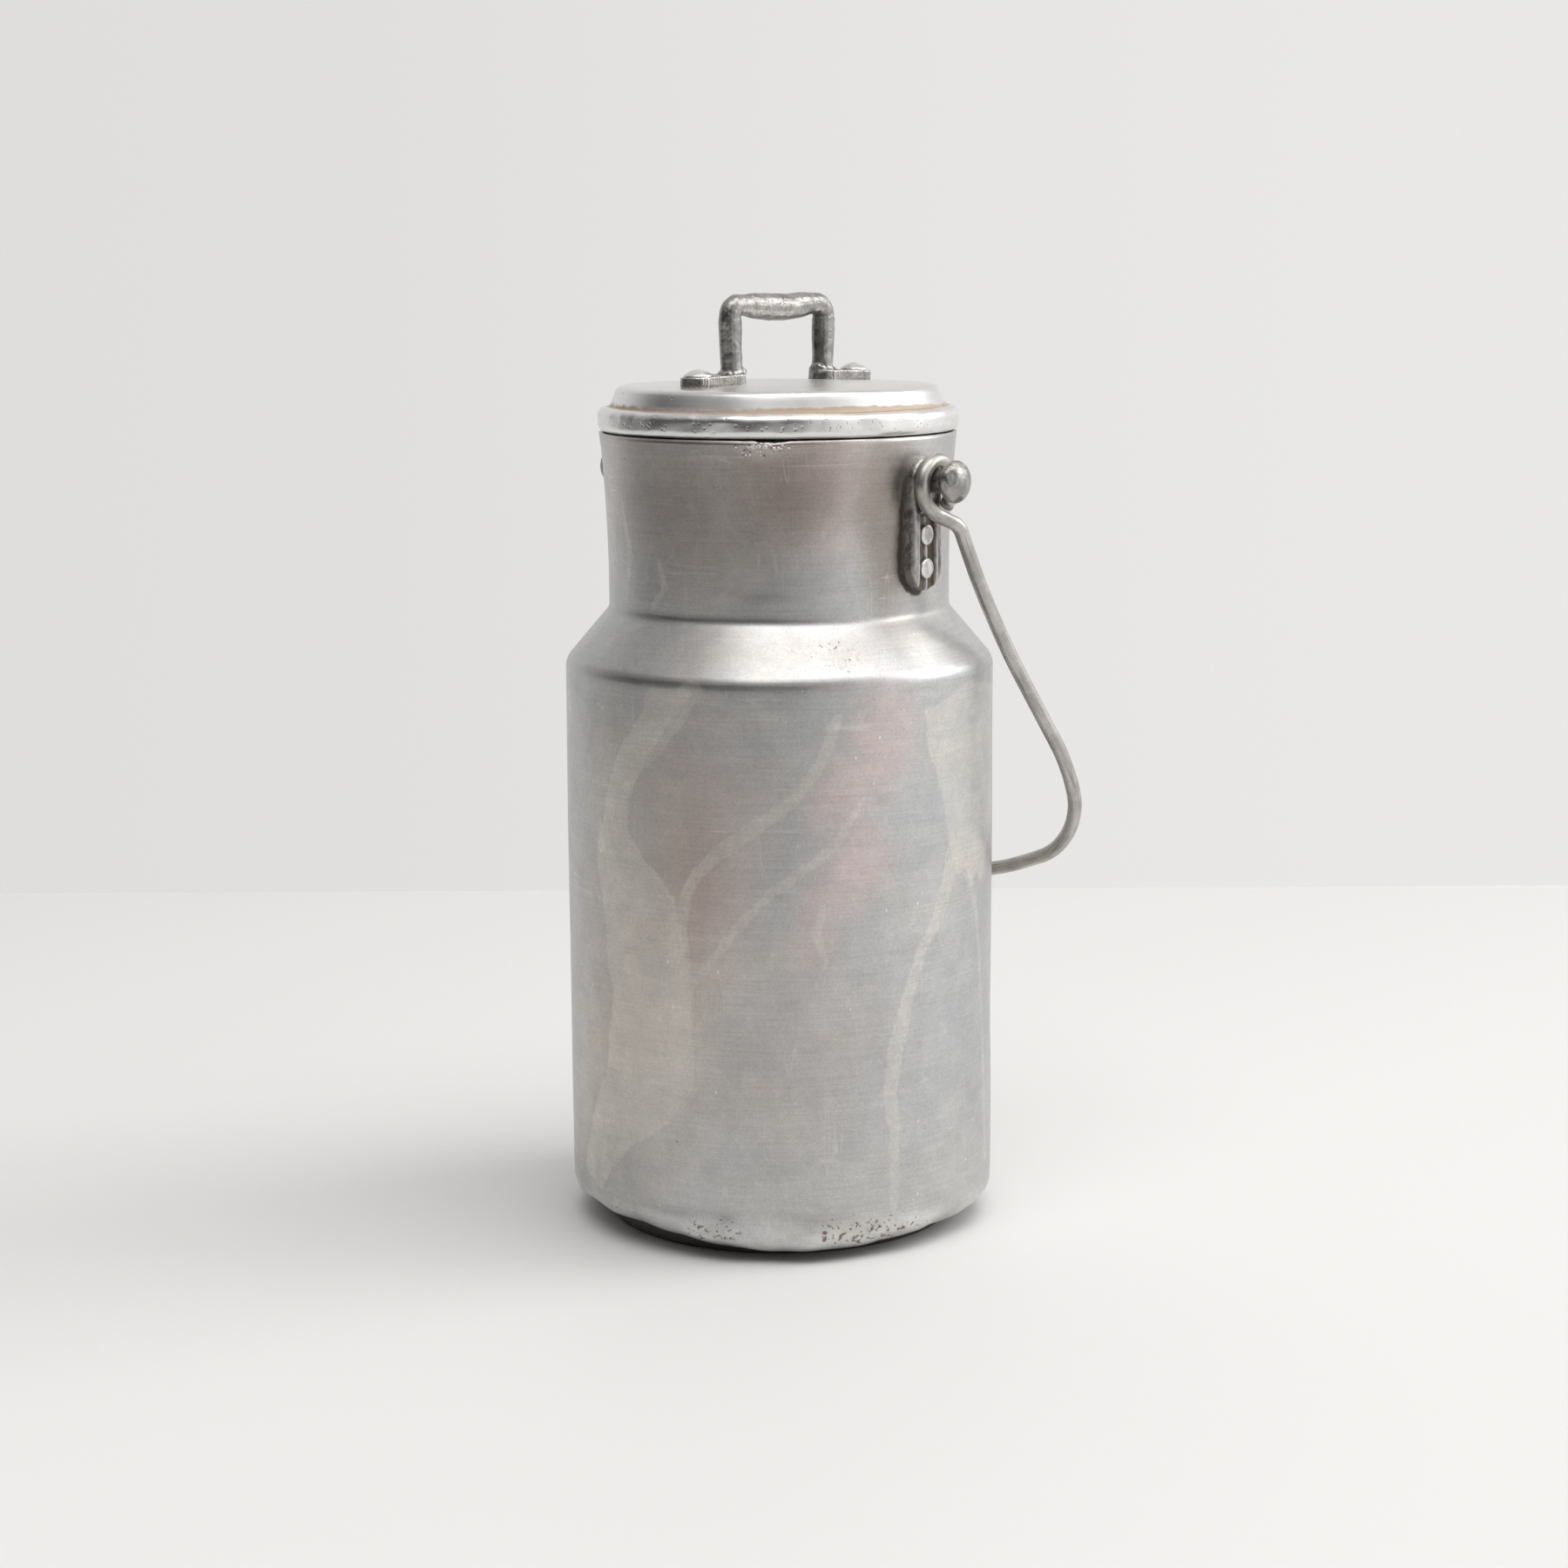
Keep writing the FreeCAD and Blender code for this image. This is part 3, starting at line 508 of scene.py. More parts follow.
def makeCanAluminium():
    material, tree, shader = newMaterial("canAluminium")
    place = objectPlace(tree)
    look = canFinish
    # the metal itself: turned lines, clouds, grain
    brush = noiseOf(tree, ringPlace(tree, place, 1700.0, 50.0), 1.0, 5.0, 0.65)
    bands = noiseOf(tree, ringPlace(tree, place, 420.0, 9.0), 1.0, 3.0, 0.5)
    cloud = noiseOf(tree, place, 26.0, 5.0, 0.6, 0.4)
    mottle = noiseOf(tree, place, 95.0, 6.0, 0.68, 0.3)
    grain = noiseOf(tree, place, 420.0, 4.0, 0.7)
    grit = noiseOf(tree, place, 1500.0, 3.0, 0.7)
    ragged = noiseOf(tree, place, 330.0, 3.0)
    # coloured zones
    warm, rosy, pitted = zonesOf(tree)
    color = mixColor(tree, ramp(tree, cloud, 0.40, 0.62), look["cool"], look["grey"])
    color = mixColor(tree, times(tree, warm, ramp(tree, cloud, 0.25, 0.7, 0.5, 1.0)), color, look["warm"])
    color = mixColor(tree, times(tree, rosy, ramp(tree, cloud, 0.3, 0.65, 0.4, 1.0)), color, look["pink"])
    # dull zones darken the metal: tarnish, and painted shade on the neck and shoulder; below 0 the metal is
    # worn bright
    tarnishAndShade = attributeOf(tree, "dull")
    color = mixColor(tree, times(tree, ramp(tree, tarnishAndShade, 0.0, 1.0), 0.8), color, look["dull"])
    # dried milk: broad patches, and runs over them
    ripple = centred(tree, ragged, 2.2)
    wide = centred(tree, noiseOf(tree, place, 70.0, 3.0), 5.0)
    patchEdge = plus(tree, attributeOf(tree, "patches"), ripple, wide)
    patch = ramp(tree, patchEdge, -0.3, 0.5, 1.0, 0.0)
    patchy = ramp(tree, cloud, 0.3, 0.65, 0.32, 0.58)
    color = mixColor(tree, times(tree, patch, patchy), color, look["run"])
    runEdge = plus(tree, attributeOf(tree, "runs"), ripple, times(tree, wide, 0.6))
    run = ramp(tree, runEdge, -0.25, 0.45, 1.0, 0.0)
    thick = ramp(tree, ragged, 0.3, 0.7, 0.30, 0.52)
    color = mixColor(tree, times(tree, run, thick), color, look["run"])
    worn = ramp(tree, minus(tree, times(tree, tarnishAndShade, -1.0), times(tree, ragged, 0.35)), -0.1, 0.8)
    color = mixColor(tree, times(tree, worn, look["wornShare"]), color, look["worn"])
    color = shaded(tree, color, swayed(tree, brush, 0.92, 1.07), swayed(tree, bands, 0.985, 1.015),
                   ramp(tree, grain, 0.3, 0.75, 0.955, 1.04, smooth=False),
                   swayed(tree, grit, 0.90, 1.10), swayed(tree, mottle, 0.905, 1.08))
    # scratches three ways, and short bright nicks
    leaning = hairlines(tree, place, (240.0, 240.0, 12.0), (0.5, 0.35, 0.0), 0.008, 0.55)
    crossing = hairlines(tree, place, (200.0, 200.0, 15.0), (-0.9, 0.6, 0.4), 0.007, 0.56)
    level = hairlines(tree, place, (12.0, 12.0, 330.0), (0.06, -0.05, 0.0), 0.010, 0.52)
    scratch = highest(tree, leaning, crossing, level)
    color = mixColor(tree, times(tree, scratch, look["scratchShare"]), color, look["scratched"])
    glint = pits(tree, stretched(tree, place, (1.0, 1.0, 0.45), (0.5, 0.3, 0.0)), 430.0, 0.05, 0.13)
    color = mixColor(tree, times(tree, glint, look["glintShare"]), color, look["glint"])
    # pits everywhere, and eaten metal in the pitted zones
    nick = times(tree, pits(tree, place, 190.0, 0.05, 0.10), 0.75)
    speck = times(tree, pits(tree, place, 560.0, 0.03, 0.18), 0.5)
    eaten = plus(tree, noiseOf(tree, place, 750.0, 3.0, 0.6), times(tree, pitted, 0.11))
    rot = times(tree, ramp(tree, eaten, 0.675, 0.745), ramp(tree, pitted, 0.1, 0.6))
    corroded = highest(tree, times(tree, pits(tree, place, 620.0, 0.3, 0.30), pitted), rot)
    hole = highest(tree, nick, corroded)
    dark = times(tree, highest(tree, hole, speck), look["eatenShare"])
    color = mixColor(tree, dark, color, look["eaten"])
    # dirt along the ears, and painted shade on the foot; both also lose their metal shine
    dirt = ramp(tree, plus(tree, attributeOf(tree, "grimeAndShade"), centred(tree, ragged, 0.7)), 0.25, 0.75)
    grimeAndShadeCover = times(tree, dirt, look["grimeAndShadeShare"])
    color = mixColor(tree, grimeAndShadeCover, color, look["grimeAndShade"])
    tree.links.new(minus(tree, 1.0, grimeAndShadeCover), shader.inputs["Metallic"])
    turned = ramp(tree, brush, 0.25, 0.75, look["roughness"] - 0.04, look["roughness"] + 0.06, smooth=False)
    rough = plus(tree, turned, times(tree, run, 0.06), times(tree, dirt, 0.25))
    rough = minus(tree, rough, times(tree, scratch, 0.08))
    height = plus(tree, times(tree, brush, 0.6), times(tree, bands, 0.5), times(tree, grain, 0.5))
    height = minus(tree, height, times(tree, hole, 9.0))
    joinShader(tree, shader, color, rough, height, look["bumpDepth"])
    return material


lidFinish = {
    # the lid's metal is painted lighter than the can's, partly as painted light on its upward faces
    "grey": (0.800, 0.790, 0.775),
    "cool": (0.740, 0.740, 0.738),
    "tan": (0.430, 0.315, 0.205),
    "scratched": (0.8, 0.79, 0.77),
    "eaten": (0.22, 0.17, 0.12),
    "roughness": 0.35,
    "bumpDepth": 0.00002,
}


def makeLidAluminium():
    material, tree, shader = newMaterial("lidAluminium")
    place = objectPlace(tree)
    look = lidFinish
    brush = noiseOf(tree, ringPlace(tree, place, 1600.0, 26.0), 1.0, 5.0, 0.62)
    cloud = noiseOf(tree, place, 60.0, 4.0, 0.6, 0.3)
    grain = noiseOf(tree, place, 600.0, 4.0, 0.7)
    stained, _, pitted = zonesOf(tree)
    color = mixColor(tree, ramp(tree, cloud, 0.35, 0.65), look["cool"], look["grey"])
    ragged = centred(tree, noiseOf(tree, place, 260.0, 4.0, 0.65), 0.9)
    dirt = ramp(tree, plus(tree, stained, ragged), 0.35, 0.85)
    color = mixColor(tree, times(tree, dirt, 0.75), color, look["tan"])
    color = shaded(tree, color, swayed(tree, brush, 0.95, 1.04))
    scratch = hairlines(tree, place, (40.0, 420.0, 420.0), (0.2, 0.1, 0.5), 0.014, 0.52)
    color = mixColor(tree, times(tree, scratch, 0.3), color, look["scratched"])
    speck = times(tree, pits(tree, place, 520.0, 0.10, 0.24), 0.6)
    hole = highest(tree, speck, times(tree, pits(tree, place, 700.0, 0.6, 0.4), pitted))
    color = mixColor(tree, times(tree, hole, 0.6), color, look["eaten"])
    rough = swayed(tree, cloud, look["roughness"] - 0.04, look["roughness"] + 0.06)
    rough = plus(tree, rough, times(tree, dirt, 0.3))
    height = plus(tree, times(tree, brush, 0.5), times(tree, grain, 0.5))
    height = minus(tree, height, times(tree, hole, 7.0))
    joinShader(tree, shader, color, rough, height, look["bumpDepth"])
    return material


castFinish = {
    "grey": (0.265, 0.258, 0.250),
    "light": (0.430, 0.420, 0.407),
    "worn": (0.74, 0.73, 0.71),
    # dark: painted shade and dirt in the hollows, and the pits
    "dark": (0.045, 0.038, 0.031),
    # brown: dirt along outlines and joints, and painted shade in the ears' grooves, round their rivets and
    # on the studs
    "brown": (0.100, 0.064, 0.036),
    "roughness": 0.34,
    "bumpDepth": 0.00005,
}


def makeCastAluminium():
    material, tree, shader = newMaterial("castAluminium")
    place = objectPlace(tree)
    look = castFinish
    patches = noiseOf(tree, place, 300.0, 6.0, 0.72, 0.6)
    grain = noiseOf(tree, place, 1300.0, 4.0, 0.7)
    relief = attributeOf(tree, "relief")  # darker in the hollows as painted shade and dirt, and edges wear bright
    color = mixColor(tree, ramp(tree, patches, 0.35, 0.65), look["grey"], look["light"])
    hollowShadeAndDirt = ramp(tree, plus(tree, relief, times(tree, patches, 1.2)), -0.9, 0.5, 1.0, 0.0)
    color = mixColor(tree, times(tree, hollowShadeAndDirt, 0.7), color, look["dark"])
    # the grime marks: dirt along outlines and joints, and painted shade in the ears' grooves, round their
    # rivets and on the studs
    grimeAndShade = ramp(tree, plus(tree, attributeOf(tree, "grimeAndShade"), centred(tree, patches, 0.8)), 0.3, 0.8)
    color = mixColor(tree, times(tree, grimeAndShade, 0.85), color, look["brown"])
    color = mixColor(tree, times(tree, ramp(tree, relief, 0.6, 2.0), 0.6), color, look["worn"])
    filthAndShade = highest(tree, times(tree, hollowShadeAndDirt, 0.4), times(tree, grimeAndShade, 0.9))
    tree.links.new(minus(tree, 1.0, filthAndShade), shader.inputs["Metallic"])
    speck = pits(tree, place, 1500.0, 0.25, 0.35)
    color = mixColor(tree, times(tree, speck, 0.45), color, look["dark"])
    rough = swayed(tree, patches, look["roughness"] - 0.06, look["roughness"] + 0.10)
    rough = plus(tree, rough, times(tree, hollowShadeAndDirt, 0.2))
    height = minus(tree, plus(tree, times(tree, patches, 2.5), grain), times(tree, speck, 1.5))
    joinShader(tree, shader, color, rough, height, look["bumpDepth"])
    return material


rivetFinish = {
    "bright": (0.80, 0.795, 0.78),
    "dull": (0.64, 0.63, 0.615),
    "dark": (0.2, 0.17, 0.14),
    "roughness": 0.34,
    "bumpDepth": 0.00003,
}


def makeRivetAluminium():
    material, tree, shader = newMaterial("rivetAluminium")
    place = objectPlace(tree)
    look = rivetFinish
    patches = noiseOf(tree, place, 420.0, 4.0, 0.6)
    grain = noiseOf(tree, place, 2200.0, 3.0, 0.7)
    color = mixColor(tree, ramp(tree, patches, 0.35, 0.6), look["dull"], look["bright"])
    speck = pits(tree, place, 1300.0, 0.12, 0.3)
    color = mixColor(tree, times(tree, speck, 0.5), color, look["dark"])
    rough = swayed(tree, patches, look["roughness"] + 0.08, look["roughness"] - 0.04)
    height = plus(tree, times(tree, patches, 1.5), times(tree, grain, 0.5))
    joinShader(tree, shader, color, rough, height, look["bumpDepth"])
    return material


bailFinish = {
    "grey": (0.420, 0.404, 0.385),
    "light": (0.540, 0.522, 0.500),
    "dark": (0.16, 0.135, 0.11),
    "roughness": 0.40,
    "bumpDepth": 0.00003,
}


def makeBailWire():
    material, tree, shader = newMaterial("bailWire")
    place = objectPlace(tree)
    look = bailFinish
    along = addNode(tree, "ShaderNodeUVMap", uv_map="UVMap").outputs[0]  # along the wire, then round it
    drawn = noiseOf(tree, stretched(tree, along, (34.0, 26.0, 1.0)), 1.0, 4.0, 0.65)
    patches = noiseOf(tree, place, 130.0, 5.0, 0.6, 0.4)
    grain = noiseOf(tree, place, 1100.0, 3.0, 0.7)
    color = mixColor(tree, ramp(tree, patches, 0.35, 0.62), look["grey"], look["light"])
    color = mixColor(tree, ramp(tree, drawn, 0.50, 0.30, 0.0, 0.7), color, look["dark"])
    speck = pits(tree, place, 900.0, 0.10, 0.3)
    color = mixColor(tree, times(tree, speck, 0.5), color, look["dark"])
    rough = swayed(tree, patches, look["roughness"] + 0.06, look["roughness"] - 0.05)
    height = plus(tree, times(tree, drawn, 1.5), times(tree, grain, 0.6))
    joinShader(tree, shader, color, rough, height, look["bumpDepth"])
    return material


canAluminium = makeCanAluminium()
lidAluminium = makeLidAluminium()
castAluminium = makeCastAluminium()
rivetAluminium = makeRivetAluminium()
bailWire = makeBailWire()
print("finishes made")


# ---- the can

can = {
    "steps": 280,
    "radius": 60.0,
    "mouth": 222.3,
    "shoulder": 160.0,
    "outer": [(0.0, 2.2), (43.5, 2.2, 1.5), (46.0, 0.0, 0.8), (49.0, 0.0, 0.8), (52.5, 3.6, 1.5),
              (60.0, 3.6, 6.6), (60.0, 159.2, 5.0), (47.6, 173.8, 3.0), (47.6, 200.6, 385.0),
              (49.65, 222.3, 0.5)],
    "inner": [(47.95, 222.3, 0.5), (45.8, 200.6, 380.0), (45.8, 174.5, 4.8), (58.2, 159.9, 3.2),
              (58.2, 5.4, 4.8), (51.8, 5.4), (48.3, 1.8), (46.7, 1.8), (44.3, 4.0), (0.0, 4.0)],
    "spacing": 1.35,
    "innerSpacing": 5.0,
    # dents: angle, height, half width round the can, half height, depth
    "dents": [(-4, 8.0, 13.0, 7.0, 1.5), (-38, 6.0, 20.0, 6.0, 1.0), (24, 6.5, 15.0, 5.0, 0.7),
              (52, 6.0, 12.0, 6.0, 0.8), (-66, 8.0, 10.0, 5.0, 0.7), (-20, 9.0, 8.0, 4.0, 0.6),
              (95, 7.0, 16.0, 6.0, 1.1), (150, 8.0, 20.0, 8.0, 1.4), (-110, 7.0, 15.0, 6.0, 1.0),
              (-165, 8.0, 12.0, 6.0, 0.8), (10, 64.0, 30.0, 25.0, 0.25), (-60, 114.0, 25.0, 30.0, 0.3),
              (165, 99.0, 28.0, 24.0, 0.5), (100, 54.0, 24.0, 20.0, 0.35)],
    # where the bottom edge is bent: angle, half width in degrees, how far up and out
    "bentEdge": [(-60, 48, 2.6, -0.3), (-28, 26, 0.7, 1.1), (8, 36, -1.0, 1.6), (60, 34, 0.3, 0.4),
                 (130, 40, 1.2, -0.5), (-150, 36, 0.9, 0.3)],
    "knocks": 56,  # small dents, low down
    "crumbs": 60,  # bits of torn metal at the mouth, in front
    "marksReach": 12.0,  # further than this from a mark, it has no effect
    # the foot: painted dark as shade inside the first radius, free of other marks inside the second
    "footTop": 6.0,
    "footShaded": 57.0,
    "footRadius": 53.5,
    # the neck's outside: how wide, and from where and how slowly it flares
    "neck": 47.6,
    "flareFrom": 182.4,
    "flareSlow": 770,
}
# marks of milk that ran down and dried, as (angle, height, half width) down the run
milkRuns = [
    [(-23, 157, 3.0), (-27, 150, 2.6), (-33, 142, 2.2), (-40, 135, 1.6), (-45, 127, 1.8), (-47, 117, 1.2)],
    [(15, 150, 1.0), (10, 137, 1.4), (3, 128, 1.7), (-9, 119, 1.5), (-18, 112, 1.7), (-24, 105, 1.5),
     (-26, 95, 1.3), (-24.5, 70, 1.6), (-22.5, 61, 2.2), (-24, 49, 2.0), (-27.5, 43, 1.6), (-36, 36, 1.7),
     (-47, 28, 1.5), (-55, 18, 0.9)],
    [(24, 131, 0.6), (14, 116, 1.2), (7, 110, 1.4), (-2.5, 103, 1.3), (-10, 95, 1.2), (-16.5, 86, 1.1),
     (-23.5, 77, 0.8)],
    [(52, 110, 3.2), (49, 101, 2.4), (45, 92, 1.9), (40, 85, 1.8), (34, 70, 2.0), (31, 58, 2.2),
     (29.5, 46, 2.0), (31, 34, 1.7), (30.5, 14, 1.2)],
    [(59, 106, 2.0), (61, 99, 1.5), (64, 92, 1.0), (67, 78, 0.9), (70, 58, 1.1), (72, 34, 0.9),
     (73, 18, 0.6)],
    [(11, 100, 0.2), (9, 92, 0.9), (12, 84, 0.7), (8, 76, 0.2)],
    [(140, 154, 2.4), (137, 124, 1.8), (141, 100, 1.5), (133, 74, 1.8), (136, 44, 1.5), (134, 12, 0.9)],
    [(160, 134, 1.6), (152, 114, 1.1), (143, 103, 0.8)],
    [(-130, 150, 2.4), (-124, 124, 1.9), (-128, 94, 1.6), (-120, 70, 1.5), (-122, 34, 0.9)],
    [(-165, 124, 0.8), (-168, 100, 1.5), (-160, 74, 1.3), (-163, 48, 1.2), (-158, 18, 0.7)],
    [(102, 122, 0.8), (108, 96, 1.4), (104, 74, 1.2), (107, 52, 0.6)],
    [(-62, 205, 0.9), (-58, 190, 1.2), (-61, 178, 0.7)],
    [(-43, 190, 0.8), (-40, 183, 1.1), (-46, 176, 0.8)],
]
# larger dried patches, as the corners of each patch, in angle and height
milkPatches = [
    [(-22, 157), (-29, 148), (-37, 139), (-41, 130), (-44, 118), (-38, 110), (-29, 102), (-26, 93),
     (-24, 70), (-23, 60), (-24, 48), (-29, 41), (-38, 33), (-50, 24), (-57, 14), (-66, 18), (-60, 36),
     (-53, 52), (-50, 72), (-54, 92), (-57, 110), (-52, 126), (-46, 138), (-38, 150), (-36, 157)],
    [(40, 150), (43, 136), (48, 124), (50, 112), (54, 103), (58, 106), (61, 98), (64, 103), (68, 98),
     (73, 106), (79, 118), (80, 152), (60, 156)],
    [(118, 156), (112, 130), (120, 108), (132, 96), (144, 112), (150, 140), (146, 156)],
    [(-150, 157), (-146, 128), (-134, 104), (-118, 112), (-108, 140), (-112, 157)],
]
# coloured zones: angle, height, half width, half height, warm, rosy, pitted, dull or (below 0) worn bright;
# the dull on the neck is partly painted shade under the lid's bead, and on the shoulder painted shade that
# tones down its highlight
canZones = [
    (-40, 88, 26, 54, 0.9, 0.1, 0.0, 0.22), (-60, 34, 18, 30, 0.5, 0.0, 0.0, 0.0),
    (29, 147, 9, 13, 0.1, 0.7, 0.0, 0.0), (21, 134, 9, 12, 0.1, 0.65, 0.0, 0.0),
    (14, 122, 8, 11, 0.1, 0.6, 0.0, 0.0), (22, 112, 8, 9, 0.1, 0.75, 0.0, -0.15),
    (14, 103, 9, 9, 0.1, 0.75, 0.0, -0.1), (9, 90, 7, 9, 0.1, 0.4, 0.0, 0.0),
    (20, 168, 8, 5, 0.2, 0.0, 0.28, 0.16), (5, 170, 6, 4, 0.2, 0.0, 0.2, 0.1),
    (-20, 96, 12, 20, 0.2, 0.35, 0.0, 0.12), (-12, 124, 12, 26, 0.15, 0.2, 0.0, 0.16),
    (6, 60, 26, 26, 0.35, 0.15, 0.0, 0.0), (-26, 206, 40, 26, 0.4, 0.1, 0.0, 0.64),
    (12, 212, 20, 18, 0.2, 0.6, 0.0, 0.55), (38, 198, 11, 26, 0.6, 0.0, 0.0, 1.0),
    (27, 8, 12, 5, 0.2, 0.0, 1.0, 0.0), (14, 10, 8, 4, 0.2, 0.0, 0.7, 0.0),
    (-18, 8, 8, 5, 0.2, 0.0, 0.8, 0.0), (-52, 9, 10, 5, 0.1, 0.0, 0.5, 0.0),
    (-3, 220.5, 9, 3.2, 0.3, 0.0, 0.9, -0.4), (130, 94, 40, 60, 0.6, 0.0, 0.0, 0.0),
    (-140, 74, 40, 50, 0.45, 0.2, 0.0, 0.0), (170, 12, 40, 8, 0.2, 0.0, 0.6, 0.0),
    (-100, 9, 16, 6, 0.2, 0.0, 0.5, 0.0), (14, 164, 10, 6, 0.1, 0.0, 0.3, 0.0),
    (8, 167, 40, 7, 0.1, 0.0, 0.0, 0.34), (130, 198, 60, 26, 0.5, 0.1, 0.0, 0.6),
    (-140, 198, 50, 26, 0.5, 0.1, 0.0, 0.6), (-24, 118, 10, 36, 0.35, 0.25, 0.0, 0.25),
]


def alongWall(x, height, start, end):
    # how far along from start to end the wall's point (x, height) is, and its distance from that line
    (x0, z0), (x1, z1) = start, end
    share = ((x - x0) * (x1 - x0) + (height - z0) * (z1 - z0)) / ((x1 - x0) ** 2 + (z1 - z0) ** 2)
    share = max(0.0, min(1.0, share))
    return share, math.hypot(x - x0 - share * (x1 - x0), height - z0 - share * (z1 - z0))


def distanceToRun(angle, height, run):
    # below 0 inside the run, in millimetres on the wall
    scale = math.radians(can["radius"])
    best = can["marksReach"]
    for (a0, z0, half0), (a1, z1, half1) in zip(run, run[1:]):
        share, gap = alongWall(angle * scale, height, (a0 * scale, z0), (a1 * scale, z1))
        best = min(best, gap - half0 - share * (half1 - half0))
    return best


def distanceToPatch(angle, height, corners):
    # below 0 inside the patch, in millimetres on the wall
    scale = math.radians(can["radius"])
    x, best, inside = angle * scale, 1e9, False
    for (a0, z0), (a1, z1) in zip(corners, corners[1:] + corners[:1]):
        x0, x1 = a0 * scale, a1 * scale
        best = min(best, alongWall(x, height, (x0, z0), (x1, z1))[1])
        if (z0 > height) != (z1 > height) and x < x0 + (height - z0) / (z1 - z0) * (x1 - x0):
            inside = not inside
    return -best if inside else best


def placeOnCan(co):
    # angle from the front, height and radius
    return frontAround(co), co.z / mm, math.hypot(co.x, co.y) / mm


def spinCan():
    bm = bmesh.new()
    profileWire(bm, can["outer"], 0.9)
    divideEdges(bm, bm.edges[:], can["spacing"])
    skin = bm.verts.layers.float.new("skin")  # 1 outside, 0 inside
    for vert in bm.verts:
        vert[skin] = 1.0
    inside = bmesh.new()
    profileWire(inside, can["inner"], 1.5)
    divideEdges(inside, inside.edges[:], can["innerSpacing"])
    addInto(bm, inside)
    ends = [vert for vert in bm.verts if len(vert.link_edges) == 1 and vert.co.z > 0.2]  # both at the mouth
    bm.edges.new(ends)
    spinProfile(bm, can["steps"])
    return bm


def markCan(bm):
    # stains, dirt and zones, kept on the points for the finish
    skin = bm.verts.layers.float["skin"]
    runs = bm.verts.layers.float.new("runs")
    patches = bm.verts.layers.float.new("patches")
    grimeAndShade = bm.verts.layers.float.new("grimeAndShade")
    dull = bm.verts.layers.float.new("dull")
    zones = bm.verts.layers.float_color.new("zones")
    far = can["marksReach"]
    for vert in bm.verts:
        angle, height, radius = placeOnCan(vert.co)
        vert[runs] = vert[patches] = far
        vert[zones] = (0.0, 0.0, 0.0, 1.0)
        # the foot under the can is painted dark, as painted shade in the gap beneath it
        if vert[skin] > 0.5 and height < can["footTop"] and radius < can["footShaded"]:
            vert[grimeAndShade] = min(1.0, (can["footShaded"] - radius) / 2.0)
        if vert[skin] < 0.5 or (radius < can["footRadius"] and height < can["footTop"]):
            continue
        vert[runs] = min(distanceToRun(angle, height, run) for run in milkRuns)
        if height < can["shoulder"]:
            vert[patches] = min(far, min(distanceToPatch(angle, height, patch) for patch in milkPatches))
        sums = [0.0, 0.0, 0.0, 0.0]
        for a, z, halfWidth, halfHeight, *amounts in canZones:
            near = math.hypot(angleGap(angle, a) / halfWidth, (height - z) / halfHeight)
            if near < 1.6:
                sums = [total + amount * bump(near, 1.6) for total, amount in zip(sums, amounts)]
        sums[2] += 0.25 * bump(height - 7, 6)  # a few pits all along the bottom
        vert[zones] = (*(min(1.0, total) for total in sums[:3]), 1.0)
        worn = 0.9 * bump(height - 5.0, 11.0) * (0.8 + 0.6 * noise.noise(vert.co / (9 * mm)))
        vert[dull] = max(-1.0, min(1.0, sums[3] - worn))
        vert[grimeAndShade] = max(vert[grimeAndShade], earGrime(vert.co))


def bendCan(bm, dents):
    # the deep dents reach everywhere, the small knocks only the low edge
    moves = []
    for vert in bm.verts:
        angle, height, radius = placeOnCan(vert.co)
        if radius < 50 and height < 170:
            continue
        push = 0.0
        for a, z, halfWidth, halfHeight, depth in dents if height < 24 else can["dents"]:
            near = math.hypot(math.radians(angleGap(angle, a)) * can["radius"] / halfWidth,
                              (height - z) / halfHeight)
            if near < 1:
                push -= depth * bump(near, 1)
        around = Vector((vert.co.x, vert.co.y, 0)).normalized()
        wander = noise.noise(around * 2.2 + Vector((0, 0, height / 45))) * 0.22
        low = max(0.0, 1 - max(0.0, height - 3.6) / 11.0) * min(1.0, max(0.0, (radius - 50.0) / 4.0))
        wander += noise.noise(around * 9.0 + Vector((3, 0, height / 6))) * 0.5 * low
        lift = noise.noise(around * 6.0 + Vector((7, 1, 0))) * 0.5 * low
        for a, half, up, out in can["bentEdge"]:
            lift += up * bump(angleGap(angle, a), half) * low
            push += out * bump(angleGap(angle, a), half) * low
        if 180 < height < 219:  # the ears sit here, so the wall stays truer
            wander *= 0.4
        nick = bump(angleGap(angle, -1.5), 6.0) * bump(height - can["mouth"], 2.5) * 0.5
        torn = max(0.0, noise.noise(around * 60 + Vector((0, 0, height)))) * 0.5
        nick += torn * bump(height - can["mouth"], 1.2) * bump(angleGap(angle, -3), 14)
        moves.append((vert, around * (push + wander) * mm + Vector((0, 0, (lift - nick) * mm))))
    for vert, move in moves:
        vert.co += move


def addCrumbs(bm, chance):
    for _ in range(can["crumbs"]):
        angle = math.radians(chance.gauss(-4.0, 4.2)) + frontAngle
        height = 221.4 - abs(chance.gauss(0.0, 1.3))
        radius = 49.7 - (can["mouth"] - height) * 0.1
        size = chance.uniform(0.2, 0.62)
        place = (math.cos(angle) * radius, math.sin(angle) * radius, height)
        addInto(bm, blob(place, (size, size * chance.uniform(0.6, 1.2), size * chance.uniform(0.5, 1.0)),
                         chance.uniform(0, 50), 2))
    # the crumbs are bright, and free of stains
    names = ("skin", "runs", "patches", "dull", "grimeAndShade")
    skin, runs, patches, dull, grimeAndShade = (bm.verts.layers.float[name] for name in names)
    zones = bm.verts.layers.float_color["zones"]
    for vert in bm.verts:
        _, height, radius = placeOnCan(vert.co)
        if vert[skin] > 0.5 or radius < 48.7 or height < 210:
            continue
        vert[runs] = vert[patches] = can["marksReach"]
        vert[zones] = (0.1, 0.0, 0.2, 1.0)
        vert[dull] = -1.0
        vert[grimeAndShade] = 0.0


